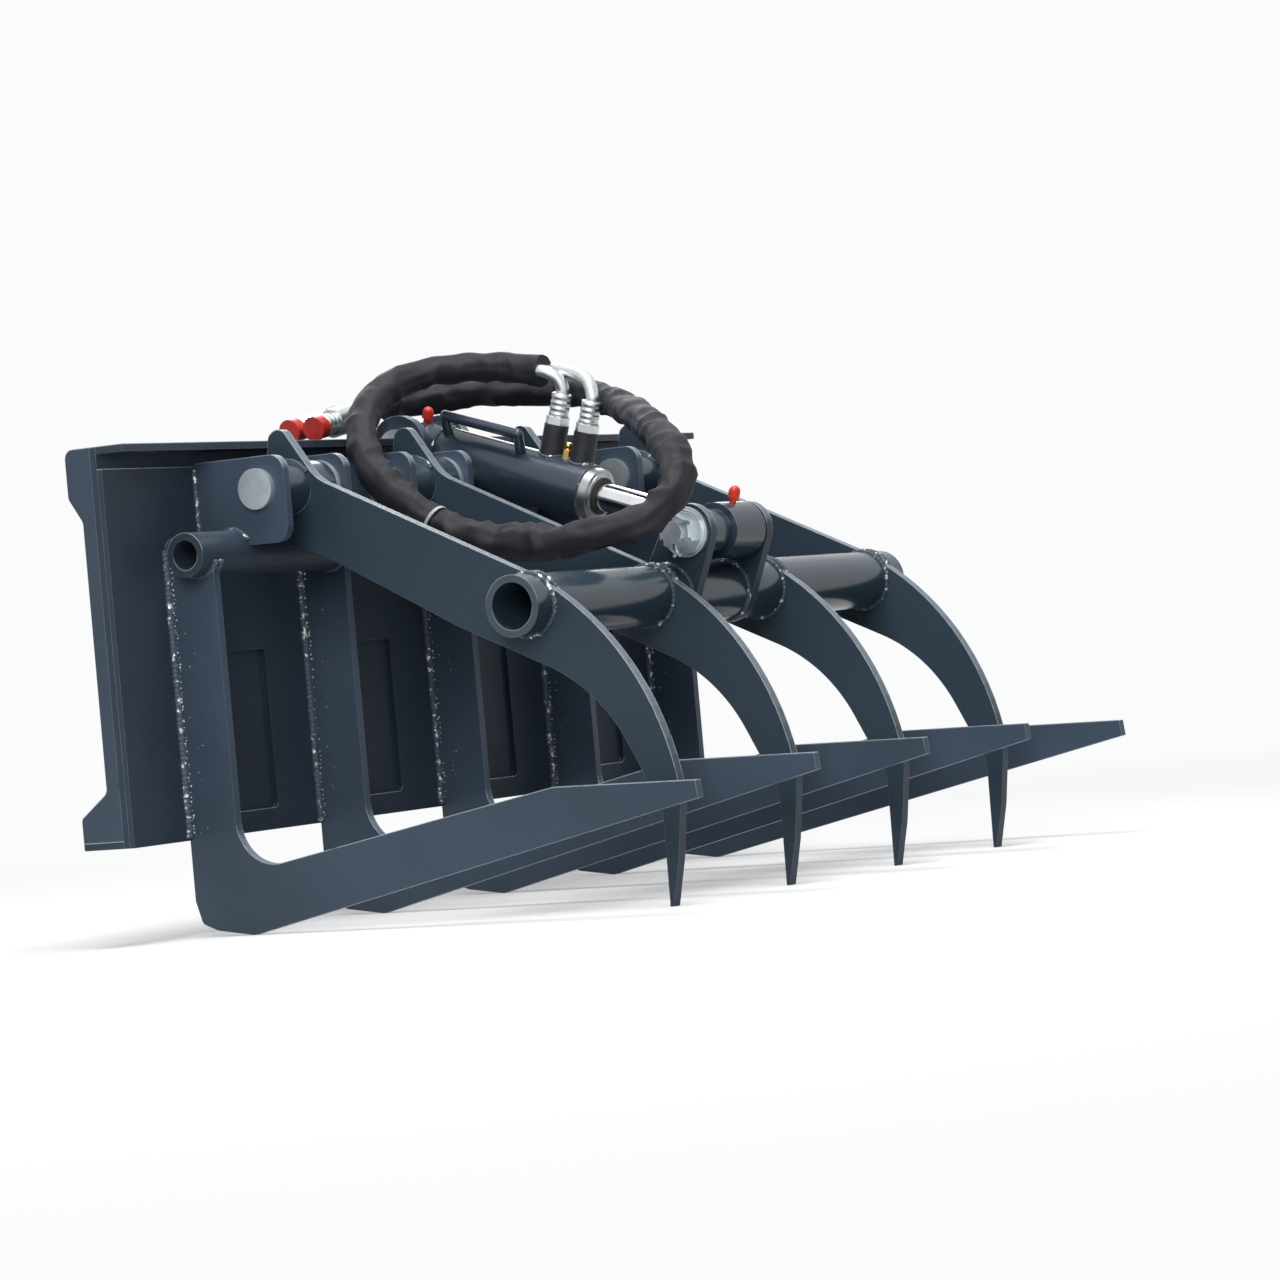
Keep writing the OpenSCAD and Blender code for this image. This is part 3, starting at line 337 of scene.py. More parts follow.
def grooved_plating(name, rgb, centre):
    """Zinc plate on turned washers, with fine grooves round the pin."""
    finish = Finish(name, Metallic=1.0)
    across = finish.vector("MULTIPLY", finish.vector("SUBTRACT", finish.place, centre), (0, 1, 1))
    radius = finish.vector("LENGTH", across, out="Value")
    groove_pitch = 2.6 * MM
    grooves = finish.math("SINE", radius * (2 * math.pi / groove_pitch))
    finish.feed(
        Base_Color=finish.mix(grooves * 0.5 + 0.5, colour(scaled(rgb, 0.6)), colour(rgb)),
        Roughness=0.26 + 0.14 * finish.noise(60, 3),
    )
    finish.bump(grooves, 0.2 * MM, 0.5)
    return finish.material


def chromed_steel(name):
    """Ground hard chrome with faint rings and an oil film."""
    finish = Finish(name, Metallic=1.0)
    rings = finish.noise(700, 1, (0.1, 1, 0.35))
    film = finish.noise(18, 3)
    finish.feed(
        Base_Color=finish.mix(film.ramp(0.4, 0.7), colour((0.86, 0.87, 0.89)), colour((0.72, 0.73, 0.74))),
        Roughness=0.07 + 0.1 * film.ramp(0.35, 0.8) + 0.03 * rings,
    )
    finish.bump(rings, 0.02 * MM, 0.2)
    return finish.material


def turned_metal(name, rgb, roughness=0.3):
    """A turned face with fine tool marks."""
    finish = Finish(name, Metallic=1.0)
    marks = finish.noise(1400, 1, (1, 1, 0.1))
    tone = finish.noise(40, 3)
    finish.feed(
        Base_Color=finish.mix(tone.ramp(0.3, 0.7), colour(rgb), colour(scaled(rgb, 0.72))),
        Roughness=roughness + 0.12 * marks,
    )
    finish.bump(marks, 0.04 * MM, 0.35)
    return finish.material


def blackened_steel(name, rgb):
    """Black oxide, rubbed grey on its edges."""
    finish = Finish(name, Metallic=0.3)
    tone = finish.noise(70, 4)
    edge = finish.edges(1.0 * MM).ramp(0.03, 0.2) * finish.noise(130, 2).ramp(0.35, 0.6)
    base = finish.mix(tone.ramp(0.3, 0.75), colour(rgb), colour(scaled(rgb, 1.9)))
    finish.feed(
        Base_Color=finish.mix(edge * 0.7, base, colour((0.3, 0.31, 0.33))),
        Roughness=0.42 + 0.2 * tone,
    )
    finish.bump(tone, 0.1 * MM, 0.3)
    return finish.material


def hose_rubber(name, rgb):
    """Matt hose rubber with the faint print of its wrapping."""
    finish = Finish(name, Specular_IOR_Level=0.4)
    wrap = finish.noise(300, 2, (1, 0.4, 1))
    bloom = finish.noise(30, 4)
    finish.feed(
        Base_Color=finish.mix(bloom.ramp(0.45, 0.8), colour(rgb), colour(scaled(rgb, 2.2))),
        Roughness=0.55 + 0.2 * bloom,
    )
    finish.bump(wrap, 0.15 * MM, 0.5)
    return finish.material


def woven_nylon(name, rgb):
    """A tight over-and-under weave that runs round and along the sleeve, dusty on its folds."""
    finish = Finish(name, Sheen_Weight=0.05, Sheen_Roughness=0.4, Sheen_Tint=(0.6, 0.68, 1.0, 1.0),
                    Specular_IOR_Level=0.25)
    threads = finish.node("ShaderNodeUVMap", {"uv_map": "threads"})
    around = finish.node("ShaderNodeSeparateXYZ", None, {"Vector": threads}, out="X")
    along = finish.node("ShaderNodeSeparateXYZ", None, {"Vector": threads}, out="Y")
    warp = finish.math("SINE", around * (2 * math.pi))
    weft = finish.math("SINE", along * (2 * math.pi))
    weave = warp * weft * 0.5 + 0.5
    shade = finish.noise(45, 4)
    patch = finish.noise(9, 3)
    dusty = finish.facing((0, 0, 1)).ramp(0.1, 0.95) * shade.ramp(0.35, 0.7)
    base = finish.mix(weave * 0.75, colour(scaled(rgb, 0.55)), colour(scaled(rgb, 1.35)))
    base = finish.mix(patch.ramp(0.4, 0.65) * 0.5, base, colour((rgb[0] * 1.4, rgb[1] * 1.3, rgb[2] * 1.4)))
    finish.feed(
        Base_Color=finish.mix(dusty * 0.08, base, colour((0.05, 0.055, 0.07))),
        Roughness=0.55 + 0.2 * shade - 0.12 * weave,
    )
    finish.bump(weave + 0.5 * shade, 0.35 * MM, 0.6)
    return finish.material


def moulded_plastic(name, rgb):
    """Glossy moulded plastic with a faint flow texture."""
    finish = Finish(name, Specular_IOR_Level=0.5)
    flow = finish.noise(110, 3)
    edge = finish.edges(1.0 * MM).ramp(0.03, 0.2)
    base = finish.mix(flow.ramp(0.35, 0.7), colour(rgb), colour(scaled(rgb, 0.72)))
    finish.feed(
        Base_Color=finish.mix(edge * 0.35, base, colour(scaled(rgb, 1.6))),
        Roughness=0.34 + 0.14 * flow,
    )
    finish.bump(flow, 0.08 * MM, 0.3)
    return finish.material


def weld_metal(name, rgb, bright, share):
    """Sprayed-over weld: paint in the hollows, bright metal where it stands proud."""
    finish = Finish(name)
    spots = finish.noise(150, 3)
    soot = finish.noise(420, 3)
    bare = spots.ramp(0.66 - 0.3 * share, 0.72 - 0.3 * share)
    base = finish.mix(soot, colour(scaled(rgb, 0.7)), colour(scaled(rgb, 1.3)))
    metal = finish.mix(soot.ramp(0.3, 0.7), colour(scaled(bright, 0.62)), colour(bright))
    finish.feed(
        Base_Color=finish.mix(bare, base, metal),
        Metallic=bare * 0.85,
        Roughness=0.5 - 0.16 * bare + 0.14 * soot,
    )
    finish.bump(soot + spots, 0.4 * MM, 0.6)
    return finish.material


def smooth_path(points, step):
    """Points every step metres along a smooth curve through the given ones."""
    dense = []
    last = len(points) - 1
    parts = 24
    for i in range(last):
        p0, p1, p2, p3 = points[max(0, i - 1)], points[i], points[i + 1], points[min(last, i + 2)]
        for j in range(parts):
            t = j / parts
            dense.append(0.5 * (2 * p1 + (p2 - p0) * t + (2 * p0 - 5 * p1 + 4 * p2 - p3) * t * t
                                + (3 * p1 - p0 - 3 * p2 + p3) * t ** 3))
    dense.append(points[last])
    runs = [0.0]
    for a, b in zip(dense, dense[1:]):
        runs.append(runs[-1] + (b - a).length)
    count = max(2, round(runs[-1] / step))
    out = []
    k = 0
    for i in range(count + 1):
        target = runs[-1] * i / count
        while k < len(runs) - 2 and runs[k + 1] < target:
            k += 1
        share = (target - runs[k]) / max(runs[k + 1] - runs[k], 1e-9)
        out.append(dense[k].lerp(dense[k + 1], min(1.0, max(0.0, share))))
    return out


def path_length(points):
    return sum((b - a).length for a, b in zip(points, points[1:]))


def carried_sides(points):
    """Heading and side vector at each point, carried along without twist."""
    frames = []
    side = None
    for i, point in enumerate(points):
        ahead = points[min(i + 1, len(points) - 1)] - points[max(i - 1, 0)]
        ahead.normalize()
        if side is None:
            side = ALONG_X if abs(ahead.x) < 0.9 else Vector((0, 0, 1))
        side = (side - ahead * side.dot(ahead)).normalized()
        frames.append((point, ahead, side, ahead.cross(side)))
    return frames


def add_tube(mesh, frames, sides, section, closed=False, uv=None):
    """Adds a tube. section(i, angle) gives how far across and up its surface is at ring i."""
    rings = []
    for i, (point, _, side, up) in enumerate(frames):
        ring = []
        for k in range(sides):
            angle = 2 * math.pi * k / sides
            across, above = section(i, angle)
            ring.append(mesh.verts.new(point + side * across + up * above))
        rings.append(ring)
    pairs = list(zip(range(len(rings)), range(1, len(rings))))
    if closed:
        pairs.append((len(rings) - 1, 0))
    for a, b in pairs:
        for k in range(sides):
            n = (k + 1) % sides
            face = mesh.faces.new((rings[a][k], rings[b][k], rings[b][n], rings[a][n]))
            face.smooth = True
            if uv is not None:
                for loop, place in zip(face.loops, ((k, a), (k, b), (k + 1, b), (k + 1, a))):
                    loop[uv["layer"]].uv = (place[0] / sides * uv["around"], place[1] * uv["along"])
    if not closed:
        for ring, turned in ((rings[0], False), (rings[-1], True)):
            mesh.faces.new(ring if not turned else ring[::-1])


def circle(radius):
    """A round section for add_tube."""
    return lambda i, angle: (radius * math.cos(angle), radius * math.sin(angle))


def ring_round(centre, side, up, radius, count):
    """Evenly spread points of a circle, from side towards up."""
    turns = [2 * math.pi * k / count for k in range(count)]
    return [centre + (side * math.cos(turn) + up * math.sin(turn)) * radius for turn in turns]


def add_lathe(mesh, origin, axis, profile, sides=48, smooth=True):
    """Adds a turned solid. profile lists (distance along the axis, radius)."""
    side = axis.orthogonal().normalized()
    up = axis.cross(side)
    rings = [[mesh.verts.new(p) for p in ring_round(origin + axis * along, side, up, radius, sides)]
             for along, radius in profile]
    for a, b in zip(rings, rings[1:]):
        for k in range(sides):
            n = (k + 1) % sides
            mesh.faces.new((a[k], b[k], b[n], a[n])).smooth = smooth
    mesh.faces.new(rings[0])
    mesh.faces.new(rings[-1][::-1])


def add_hexagon(mesh, origin, axis, start, end, across_flats, chamfer=1.2 * MM):
    """Adds a hexagon with chamfered corners."""
    corner = across_flats / 2 / math.cos(math.radians(30))
    profile = [(start, corner - chamfer), (start + chamfer / 2, corner),
               (end - chamfer / 2, corner), (end, corner - chamfer)]
    add_lathe(mesh, origin, axis, profile, sides=6, smooth=False)


def finished(mesh, name, material, body=None, nodes=()):
    """Turns a bmesh into a piece with its material, body, slot and the nodes it stands for."""
    bmesh.ops.recalc_face_normals(mesh, faces=mesh.faces)
    data = bpy.data.meshes.new(name)
    mesh.to_mesh(data)
    mesh.free()
    data.materials.append(material)
    piece = bpy.data.objects.new(name, data)
    bpy.context.scene.collection.objects.link(piece)
    if body:
        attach(piece, body)
    if nodes:
        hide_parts(*nodes)
    return piece


def add_bead(mesh, points, radius, seed, closed=False):
    """Adds a weld bead of overlapping ripples along points."""
    ripple = 5.2 * MM
    line = smooth_path(points, BEAD_STEP) if not closed else points
    frames = carried_sides(line)

    def section(i, angle):
        phase = (i * BEAD_STEP / ripple + 0.3 * noise.noise(Vector((i * 0.05, seed, 0)))) % 1
        swell = 0.86 + 0.2 * math.sin(math.pi * phase)
        rough = 0.16 * noise.noise(Vector((i * 0.35, seed * 3.7, math.cos(angle) * 1.4)))
        wide = radius * (swell + rough)
        return wide * math.cos(angle), wide * math.sin(angle)

    add_tube(mesh, frames, 8, section, closed)


def ring_points(centre, radius, x, start=0.0, end=360.0):
    """Points of an arc round the X axis, in degrees from +Y towards +Z."""
    count = max(12, round(radius * math.radians(end - start) / BEAD_STEP))
    closed = end - start >= 360
    span = count if closed else count - 1
    return [Vector((x, centre.y + radius * math.cos(math.radians(start + (end - start) * i / span)),
                    centre.z + radius * math.sin(math.radians(start + (end - start) * i / span))))
            for i in range(count)]


def dress(material, *nodes):
    """Gives frame nodes a material."""
    for node in nodes:
        data = frame["nodes"][node].data
        data.materials.clear()
        data.materials.append(material)


class GrapplePaint(bpy.types.PropertyGroup):
    """Colours of the painted steel, and how far its edges are rubbed bare, with a painted highlight on the
    upper ones.
    """

    frame_colour: bpy.props.FloatVectorProperty(
        name="Frame paint", description="Paint of the plates and tines", subtype="COLOR", size=3,
        min=0, max=1, default=(0.056, 0.081, 0.118))
    jaw_colour: bpy.props.FloatVectorProperty(
        name="Jaw paint", description="Paint of the arms and the cross tube", subtype="COLOR", size=3,
        min=0, max=1, default=(0.031, 0.052, 0.074))
    cylinder_colour: bpy.props.FloatVectorProperty(
        name="Cylinder paint", description="Paint of the barrel and its eyes", subtype="COLOR", size=3,
        min=0, max=1, default=(0.029, 0.044, 0.068))
    # Colour of the rubbed edges, also used for the painted highlight on upper edges and cut faces.
    wear_and_highlight_colour: bpy.props.FloatVectorProperty(
        name="Worn edge", description="Bare steel at worn edges", subtype="COLOR", size=3,
        min=0, max=1, default=(0.66, 0.73, 0.79))
    # Scales the rubbed edges together with their painted highlight.
    edge_wear_and_highlight: bpy.props.FloatProperty(
        name="Wear", description="How much paint has worn off the edges", subtype="FACTOR",
        min=0, max=1, default=0.8)


class GrappleHose(bpy.types.PropertyGroup):
    """Sizes and colour of the sleeved hoses."""

    sleeve_colour: bpy.props.FloatVectorProperty(
        name="Sleeve", description="Colour of the woven sleeve", subtype="COLOR", size=3,
        min=0, max=1, default=(0.0125, 0.0128, 0.0175))
    fold_depth: bpy.props.FloatProperty(
        name="Fold depth", description="Height of the sleeve's folds", unit="LENGTH",
        min=0, max=0.006, default=0.0042)
    fold_pitch: bpy.props.FloatProperty(
        name="Fold pitch", description="Distance between neighbouring folds", unit="LENGTH",
        min=0.01, max=0.06, default=0.027)
    thread_pitch: bpy.props.FloatProperty(
        name="Thread pitch", description="Width of one over-and-under of the weave", unit="LENGTH",
        min=0.001, max=0.006, default=0.0026)


class GrappleWeld(bpy.types.PropertyGroup):
    """Sizes and colour of the weld beads."""

    radius: bpy.props.FloatProperty(
        name="Bead radius", description="Radius of a weld bead", unit="LENGTH",
        min=0.002, max=0.006, default=0.0042)
    bright: bpy.props.FloatVectorProperty(
        name="Bare weld", description="Weld metal where the paint is thin", subtype="COLOR", size=3,
        min=0, max=1, default=(0.72, 0.74, 0.72))
    bare_share: bpy.props.FloatProperty(
        name="Bare share", description="How much of a bead shows bare metal", subtype="FACTOR",
        min=0, max=1, default=0.28)


class GrappleStage(bpy.types.PropertyGroup):
    """Camera, floor and light."""

    eye: bpy.props.FloatVectorProperty(
        name="Eye", description="Place of the camera", subtype="TRANSLATION", unit="LENGTH", size=3,
        default=(-4.285, -2.7625, 0.28))
    aim: bpy.props.FloatVectorProperty(
        name="Aim", description="Point that the camera looks at", subtype="TRANSLATION", unit="LENGTH",
        size=3, default=(0.0, 0.0, 0.275))
    upright: bpy.props.FloatVectorProperty(
        name="Upright", description="Direction that stands upright in the picture, as the plate leans",
        subtype="DIRECTION", size=3, default=(0.0, -0.1045, 0.9945))
    focal: bpy.props.FloatProperty(
        name="Focal length", description="Focal length of the lens, in millimetres",
        min=35, max=300, default=128)
    floor_colour: bpy.props.FloatVectorProperty(
        name="Floor", description="Colour of the floor", subtype="COLOR", size=3,
        min=0, max=1, default=(0.88, 0.885, 0.89))


class GRAPPLE_OT_camera(bpy.types.Operator):
    """Places the camera at the photograph's angle"""

    bl_idname = "grapple.camera"
    bl_label = "Camera"

    def execute(self, context):
        stage = context.scene.grapple_stage
        data = bpy.data.cameras.new("grapple_camera")
        data.lens = stage.focal
        data.sensor_width = 36
        data.clip_end = 100
        camera = bpy.data.objects.new("grapple_camera", data)
        back = (Vector(stage.eye) - Vector(stage.aim)).normalized()
        right = Vector(stage.upright).cross(back).normalized()
        up = back.cross(right)
        turn = Matrix((right, up, back)).transposed().to_4x4()
        camera.matrix_world = Matrix.Translation(stage.eye) @ turn
        context.scene.collection.objects.link(camera)
        context.scene.camera = camera
        return {"FINISHED"}


def coupler_up():
    """Height of a coupler's hose end above the ground."""
    rim_r = COUPLER_R + CAP_RIM / 2
    reach = COUPLER_LEN + CAP_LEN + CAP_RIM
    return high("quick_attach_plate").z + 0.4 * MM + rim_r + reach * math.sin(COUPLER_TILT)


def coupler_start(side):
    """The hose end of the coupler on one side, -1 or 1, of the pair."""
    return placed(COUPLER_MID + side * COUPLER_STEP / 2, COUPLER_X, coupler_up())


COUPLER_AXIS = Vector((-math.cos(COUPLER_TILT), 0, -math.sin(COUPLER_TILT)))


def port_point(distance, height, sideways=0.0):
    """A point over the cylinder's axis, at a distance from the rear pin."""
    return REAR_PIN + CYLINDER_AXIS * distance + CYLINDER_UP * height + ALONG_X * sideways


class GRAPPLE_OT_sleeve(bpy.types.Operator):
    bl_idname = "grapple.sleeve"
    bl_label = "Hose Sleeve"

    def execute(self, context):
        hose = context.scene.grapple_hose
        route = [placed(*p) for p in SLEEVE_ROUTE]
        line = smooth_path(route, SLEEVE_STEP)
        frames = carried_sides(line)
        last = len(line) - 1
        heights = [p.z for p in line]
        floor, top = min(heights), max(heights)

        def section(i, angle):
            run = i * SLEEVE_STEP
            ends = min(i, last - i) * SLEEVE_STEP
            slack = 0.45 + 0.55 * (top - heights[i]) / (top - floor)
            slack *= min(1.0, ends / 0.05)
            around = Vector((math.cos(angle), math.sin(angle), 0))
            place = Vector((run / hose.fold_pitch, 0.55 * around.x, 0.55 * around.y))
            fold = 1 - 2.6 * abs(noise.noise(place + Vector((3.1, 0, 0))))
            crease = noise.noise(Vector((run / 0.075, 1.9 * around.x, 1.9 * around.y)))
            small = noise.noise(Vector((run / 0.009, 2.6 * around.x + 5, 2.6 * around.y)))
            swell = 0.02 * math.sin(run / 0.11) + 0.04 * noise.noise(Vector((run / 0.07, 9.0, 0)))
            grown = SLEEVE_R * (1 + swell) + 1.4 * MM * max(0.0, 1 - ends / 0.02)
            grown += hose.fold_depth * (0.35 + slack) * fold * 0.62 + 1.9 * MM * crease + 0.4 * MM * small
            wide = 1 + 0.1 * slack
            return grown * wide * around.x, grown * (1 - 0.1 * slack) * around.y

        mesh = bmesh.new()
        layer = mesh.loops.layers.uv.new("threads")
        threads = {"layer": layer, "around": round(2 * math.pi * SLEEVE_R / hose.thread_pitch),
                   "along": SLEEVE_STEP / hose.thread_pitch}
        add_tube(mesh, frames, 44, section, uv=threads)
        material = woven_nylon("woven_sleeve", tuple(hose.sleeve_colour))
        sleeve = finished(mesh, "wrinkled_sleeve", material, nodes=["hose_sleeve"])
        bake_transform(sleeve)
        path_length(line)
        return {"FINISHED"}


class GRAPPLE_OT_hose_ends(bpy.types.Operator):
    """Builds the crimped ferrules, steel elbows, hose tails, couplers and the cable tie"""

    bl_idname = "grapple.hose_ends"
    bl_label = "Hose Ends"

    def execute(self, context):
        zinc = plated_steel("hose_plating", (0.66, 0.69, 0.71), 0.24)
        self.ferrules(zinc)
        self.elbows(zinc)
        self.tails()
        self.couplers(zinc)
        self.tie()
        # Painted shade: the dust caps' red is darkened for the shade they sit in.
        dress(moulded_plastic("cap_plastic", (0.52, 0.022, 0.014)), "dust_caps")
        dress(moulded_plastic("nipple_cap_plastic", (0.82, 0.035, 0.012)), "rear_grease_nipple",
              "front_grease_nipple")
        dress(zinc, "coupler_collar")
        return {"FINISHED"}

    def ferrules(self, zinc):
        """A hexagon and a crimped shell on each port."""
        mesh = bmesh.new()
        crimps = 3
        shoulder, rim = 0.5 * MM, 0.6 * MM
        for distance in PORTS:
            base = port_point(distance, PORT_TOP)
            add_hexagon(mesh, base, CYLINDER_UP, 0, HEX_LEN, HEX_AF)
            shell = FERRULE_LEN - HEX_LEN
            profile = [(HEX_LEN, FERRULE_R * 0.8), (HEX_LEN + shoulder, FERRULE_R)]
            for i in range(crimps):
                start = HEX_LEN + shell * (0.12 + 0.76 * i / crimps)
                pitch = shell * 0.76 / crimps
                profile += [(start, FERRULE_R), (start + 0.2 * pitch, FERRULE_R * 0.94),
                            (start + 0.5 * pitch, FERRULE_R * 0.94), (start + 0.7 * pitch, FERRULE_R)]
            profile += [(FERRULE_LEN - rim, FERRULE_R), (FERRULE_LEN, FERRULE_R * 0.86)]
            add_lathe(mesh, base, CYLINDER_UP, profile)
        finished(mesh, "crimped_ferrules", zinc, "barrel", ["hose_fittings"])

    def elbows(self, zinc):
        """The bent steel tubes from the ferrules into the sleeve's mouth."""
        mouth = placed(*SLEEVE_ROUTE[0])
        seat = 2 * MM
        inside, rise = 12 * MM, 1 * MM
        mesh = bmesh.new()
        for distance, aside in zip(PORTS, (-HOSE_SIDE, HOSE_SIDE)):
            start = port_point(distance, PORT_TOP + FERRULE_LEN)
            points = [port_point(distance, PORT_TOP + FERRULE_LEN - seat), start,
                      port_point(distance, PORT_TOP + FERRULE_LEN + 2 * HOSE_R / 3)]
            for back, up, side in ELBOW_SHARES:
                points.append(Vector((side * aside, start.y + back * (mouth.y - start.y),
                                      start.z + up * (mouth.z - start.z))))
            points.append(Vector((aside, mouth.y, mouth.z)))
            points.append(Vector((0.7 * aside, mouth.y + inside, mouth.z + rise)))
            frames = carried_sides(smooth_path(points, HOSE_STEP))
            add_tube(mesh, frames, 28, circle(HOSE_R))
        finished(mesh, "elbows", zinc, "barrel", ["hose_elbows"])

    def tails(self):
        """The bare rubber between the sleeve and the couplers, with its crimped shells."""
        rubber = hose_rubber("hose_rubber", (0.02, 0.02, 0.022))
        mouth = placed(*SLEEVE_ROUTE[-1])
        mesh = bmesh.new()
        for side in (-1, 1):
            start = Vector((mouth.x - SIDE_GAP, mouth.y - side * HOSE_SIDE, mouth.z))
            end = coupler_start(side)
            run = HOSE_LEAD_SHARE * (start.x - end.x)
            stub = Vector((-run / 2, 0, 0))
            lead = Vector((-run, 0, -run * math.tan(COUPLER_TILT)))
            between = (start + 2 * stub + end - lead) / 2
            points = [start - stub, start, start + stub, start + 2 * stub, between, end - lead, end]
            frames = carried_sides(smooth_path(points, HOSE_STEP))
            add_tube(mesh, frames, 28, circle(HOSE_R))
        finished(mesh, "coupler_tails", rubber, "frame", ["coupler_hoses"])

    def couplers(self, zinc):
        """Two plated couplers: crimped shell, hexagon, ribbed body and nose."""
        mesh = bmesh.new()
        tail_r = 0.85 * COUPLER_R
        nose_r = 0.8 * COUPLER_R
        groove_r = 0.92 * COUPLER_R
        hex_start, hex_end, hidden = 30 * MM, 46 * MM, 1 * MM
        tail_rim, nose_rim = 0.6 * MM, 0.5 * MM
        crimps, first_crimp, crimp_pitch = 4, 4 * MM, 6 * MM
        ribs = 7
        rib_pitch = (COUPLER_LEN - hex_end) / ribs
        for side in (-1, 1):
            base = coupler_start(side)
            profile = [(0, tail_r * 0.9), (tail_rim, tail_r)]
            for i in range(crimps):
                start = first_crimp + crimp_pitch * i
                profile += [(start, tail_r), (start + 0.2 * crimp_pitch, tail_r * 0.9),
                            (start + 0.6 * crimp_pitch, tail_r * 0.9), (start + 0.8 * crimp_pitch, tail_r)]
            profile += [(hex_start + hidden, tail_r)]
            add_lathe(mesh, base, COUPLER_AXIS, profile)
            add_hexagon(mesh, base, COUPLER_AXIS, hex_start, hex_end, 2 * COUPLER_R)
            profile = [(hex_end - hidden, groove_r)]
            for i in range(ribs):
                start = hex_end + i * rib_pitch
                profile += [(start, groove_r), (start + 0.15 * rib_pitch, COUPLER_R),
                            (start + 0.7 * rib_pitch, COUPLER_R), (start + 0.82 * rib_pitch, groove_r)]
            profile += [(COUPLER_LEN - nose_rim, groove_r), (COUPLER_LEN, nose_r),
                        (COUPLER_LEN + CAP_LEN, nose_r)]
            add_lathe(mesh, base, COUPLER_AXIS, profile)
        finished(mesh, "ribbed_couplers", zinc, "frame", ["quick_couplers"])

    def tie(self):
        """A cable tie round the sleeve."""
        line = smooth_path([placed(*p) for p in SLEEVE_ROUTE], SLEEVE_STEP)
        target = placed(*TIE_PLACE)
        index = min(range(len(line)), key=lambda i: (line[i] - target).length)
        _, ahead, side, up = carried_sides(line)[index]
        mesh = bmesh.new()
        count = 60
        widened = 1.09
        apart = 0.9 * MM
        half_w, half_t = 2.2 * MM, 0.8 * MM
        frames = []
        for point in ring_round(line[index], side * widened, up, SLEEVE_R + apart, count):
            out = (point - line[index]).normalized()
            frames.append((point, ahead.cross(out), ahead, out))
        add_tube(mesh, frames, 8, lambda i, a: (half_w * math.cos(a), half_t * math.sin(a)), closed=True)
        finished(mesh, "cable_tie", hose_rubber("tie_nylon", (0.3, 0.3, 0.31)), "barrel")


class GRAPPLE_OT_frame_paint(bpy.types.Operator):
    """Paints the plates, tines, ears and lugs, the plates in a darker copy of the tines' paint as painted
    shade
    """

    bl_idname = "grapple.frame_paint"
    bl_label = "Frame Paint"

    def execute(self, context):
        paint = context.scene.grapple_paint
        wear_and_highlight_rgb = tuple(paint.wear_and_highlight_colour)
        # Painted shade: the back sheet, plate, flange, hook, lip and top tube take the frame paint at 0.62
        # of its brightness, for the shade they stand in.
        plates = painted_steel("frame_plate_painted_shade", scaled(tuple(paint.frame_colour), 0.62), wear_and_highlight_rgb,
                               painted_cut_face_highlight=False, edge_wear_and_highlight=paint.edge_wear_and_highlight)
        ribs = painted_steel("frame_tine_paint", tuple(paint.frame_colour), wear_and_highlight_rgb, edge_wear_and_highlight=paint.edge_wear_and_highlight)
        dress(plates, "back_sheet", "quick_attach_plate", "bottom_flange", "top_hook", "top_lip", "top_tube")
        dress(ribs, "end_gussets", "rear_lug_near", "rear_lug_far", *TINES, *EAR_PAIRS)
        return {"FINISHED"}


class GRAPPLE_OT_jaw_paint(bpy.types.Operator):
    """Paints the arms, bosses, cross tube and clevis"""

    bl_idname = "grapple.jaw_paint"
    bl_label = "Jaw Paint"

    def execute(self, context):
        paint = context.scene.grapple_paint
        wear_and_highlight_rgb = tuple(paint.wear_and_highlight_colour)
        round_parts = painted_steel("jaw_tube_paint", tuple(paint.jaw_colour), wear_and_highlight_rgb, roughness=0.15,
                                    specular=0.6, painted_cut_face_highlight=False, edge_wear_and_highlight=0.6 * paint.edge_wear_and_highlight)
        plates = painted_steel("jaw_plate_paint", tuple(paint.jaw_colour), wear_and_highlight_rgb, edge_wear_and_highlight=paint.edge_wear_and_highlight)
        dress(round_parts, "pivot_bosses", "cross_tube", "clevis_spacer")
        dress(plates, "clevis_lug_near", "clevis_lug_far", *ARMS)
        return {"FINISHED"}


class GRAPPLE_OT_cylinder(bpy.types.Operator):
    """Finishes the barrel, rod, gland, ports and eyes"""

    bl_idname = "grapple.cylinder"
    bl_label = "Cylinder"

    def execute(self, context):
        paint = context.scene.grapple_paint
        coat = painted_steel("cylinder_coat", tuple(paint.cylinder_colour), tuple(paint.wear_and_highlight_colour),
                             roughness=0.17, specular=0.6, painted_cut_face_highlight=False, edge_wear_and_highlight=0.5 * paint.edge_wear_and_highlight)
        dress(coat, "barrel", "barrel_cap", "rear_eye", "rod_eye", "hard_line")
        dress(chromed_steel("rod_chrome"), "piston_rod")
        dress(turned_metal("gland_metal", (0.5, 0.51, 0.53)), "gland", "piston")
        dress(blackened_steel("port_oxide", (0.016, 0.017, 0.02)), "port_bosses")
        dress(hose_rubber("wiper_rubber", (0.02, 0.02, 0.02)), "rod_wiper")
        self.union()
        return {"FINISHED"}

    def union(self):
        """A small brass union between the ports."""
        mesh = bmesh.new()
        base = port_point(sum(PORTS) / 2, outer_barrel_r())
        root, hex_top, across_flats = -3 * MM, 9 * MM, 11 * MM
        stem_top, stem_r, tip_top, tip_r = 16 * MM, 4 * MM, 17 * MM, 3 * MM
        add_hexagon(mesh, base, CYLINDER_UP, root, hex_top, across_flats)
        add_lathe(mesh, base, CYLINDER_UP, [(hex_top, stem_r), (stem_top, stem_r), (tip_top, tip_r)], 24)
        brass = turned_metal("union_brass", (0.72, 0.48, 0.16), 0.26)
        finished(mesh, "bleed_union", brass, "barrel")


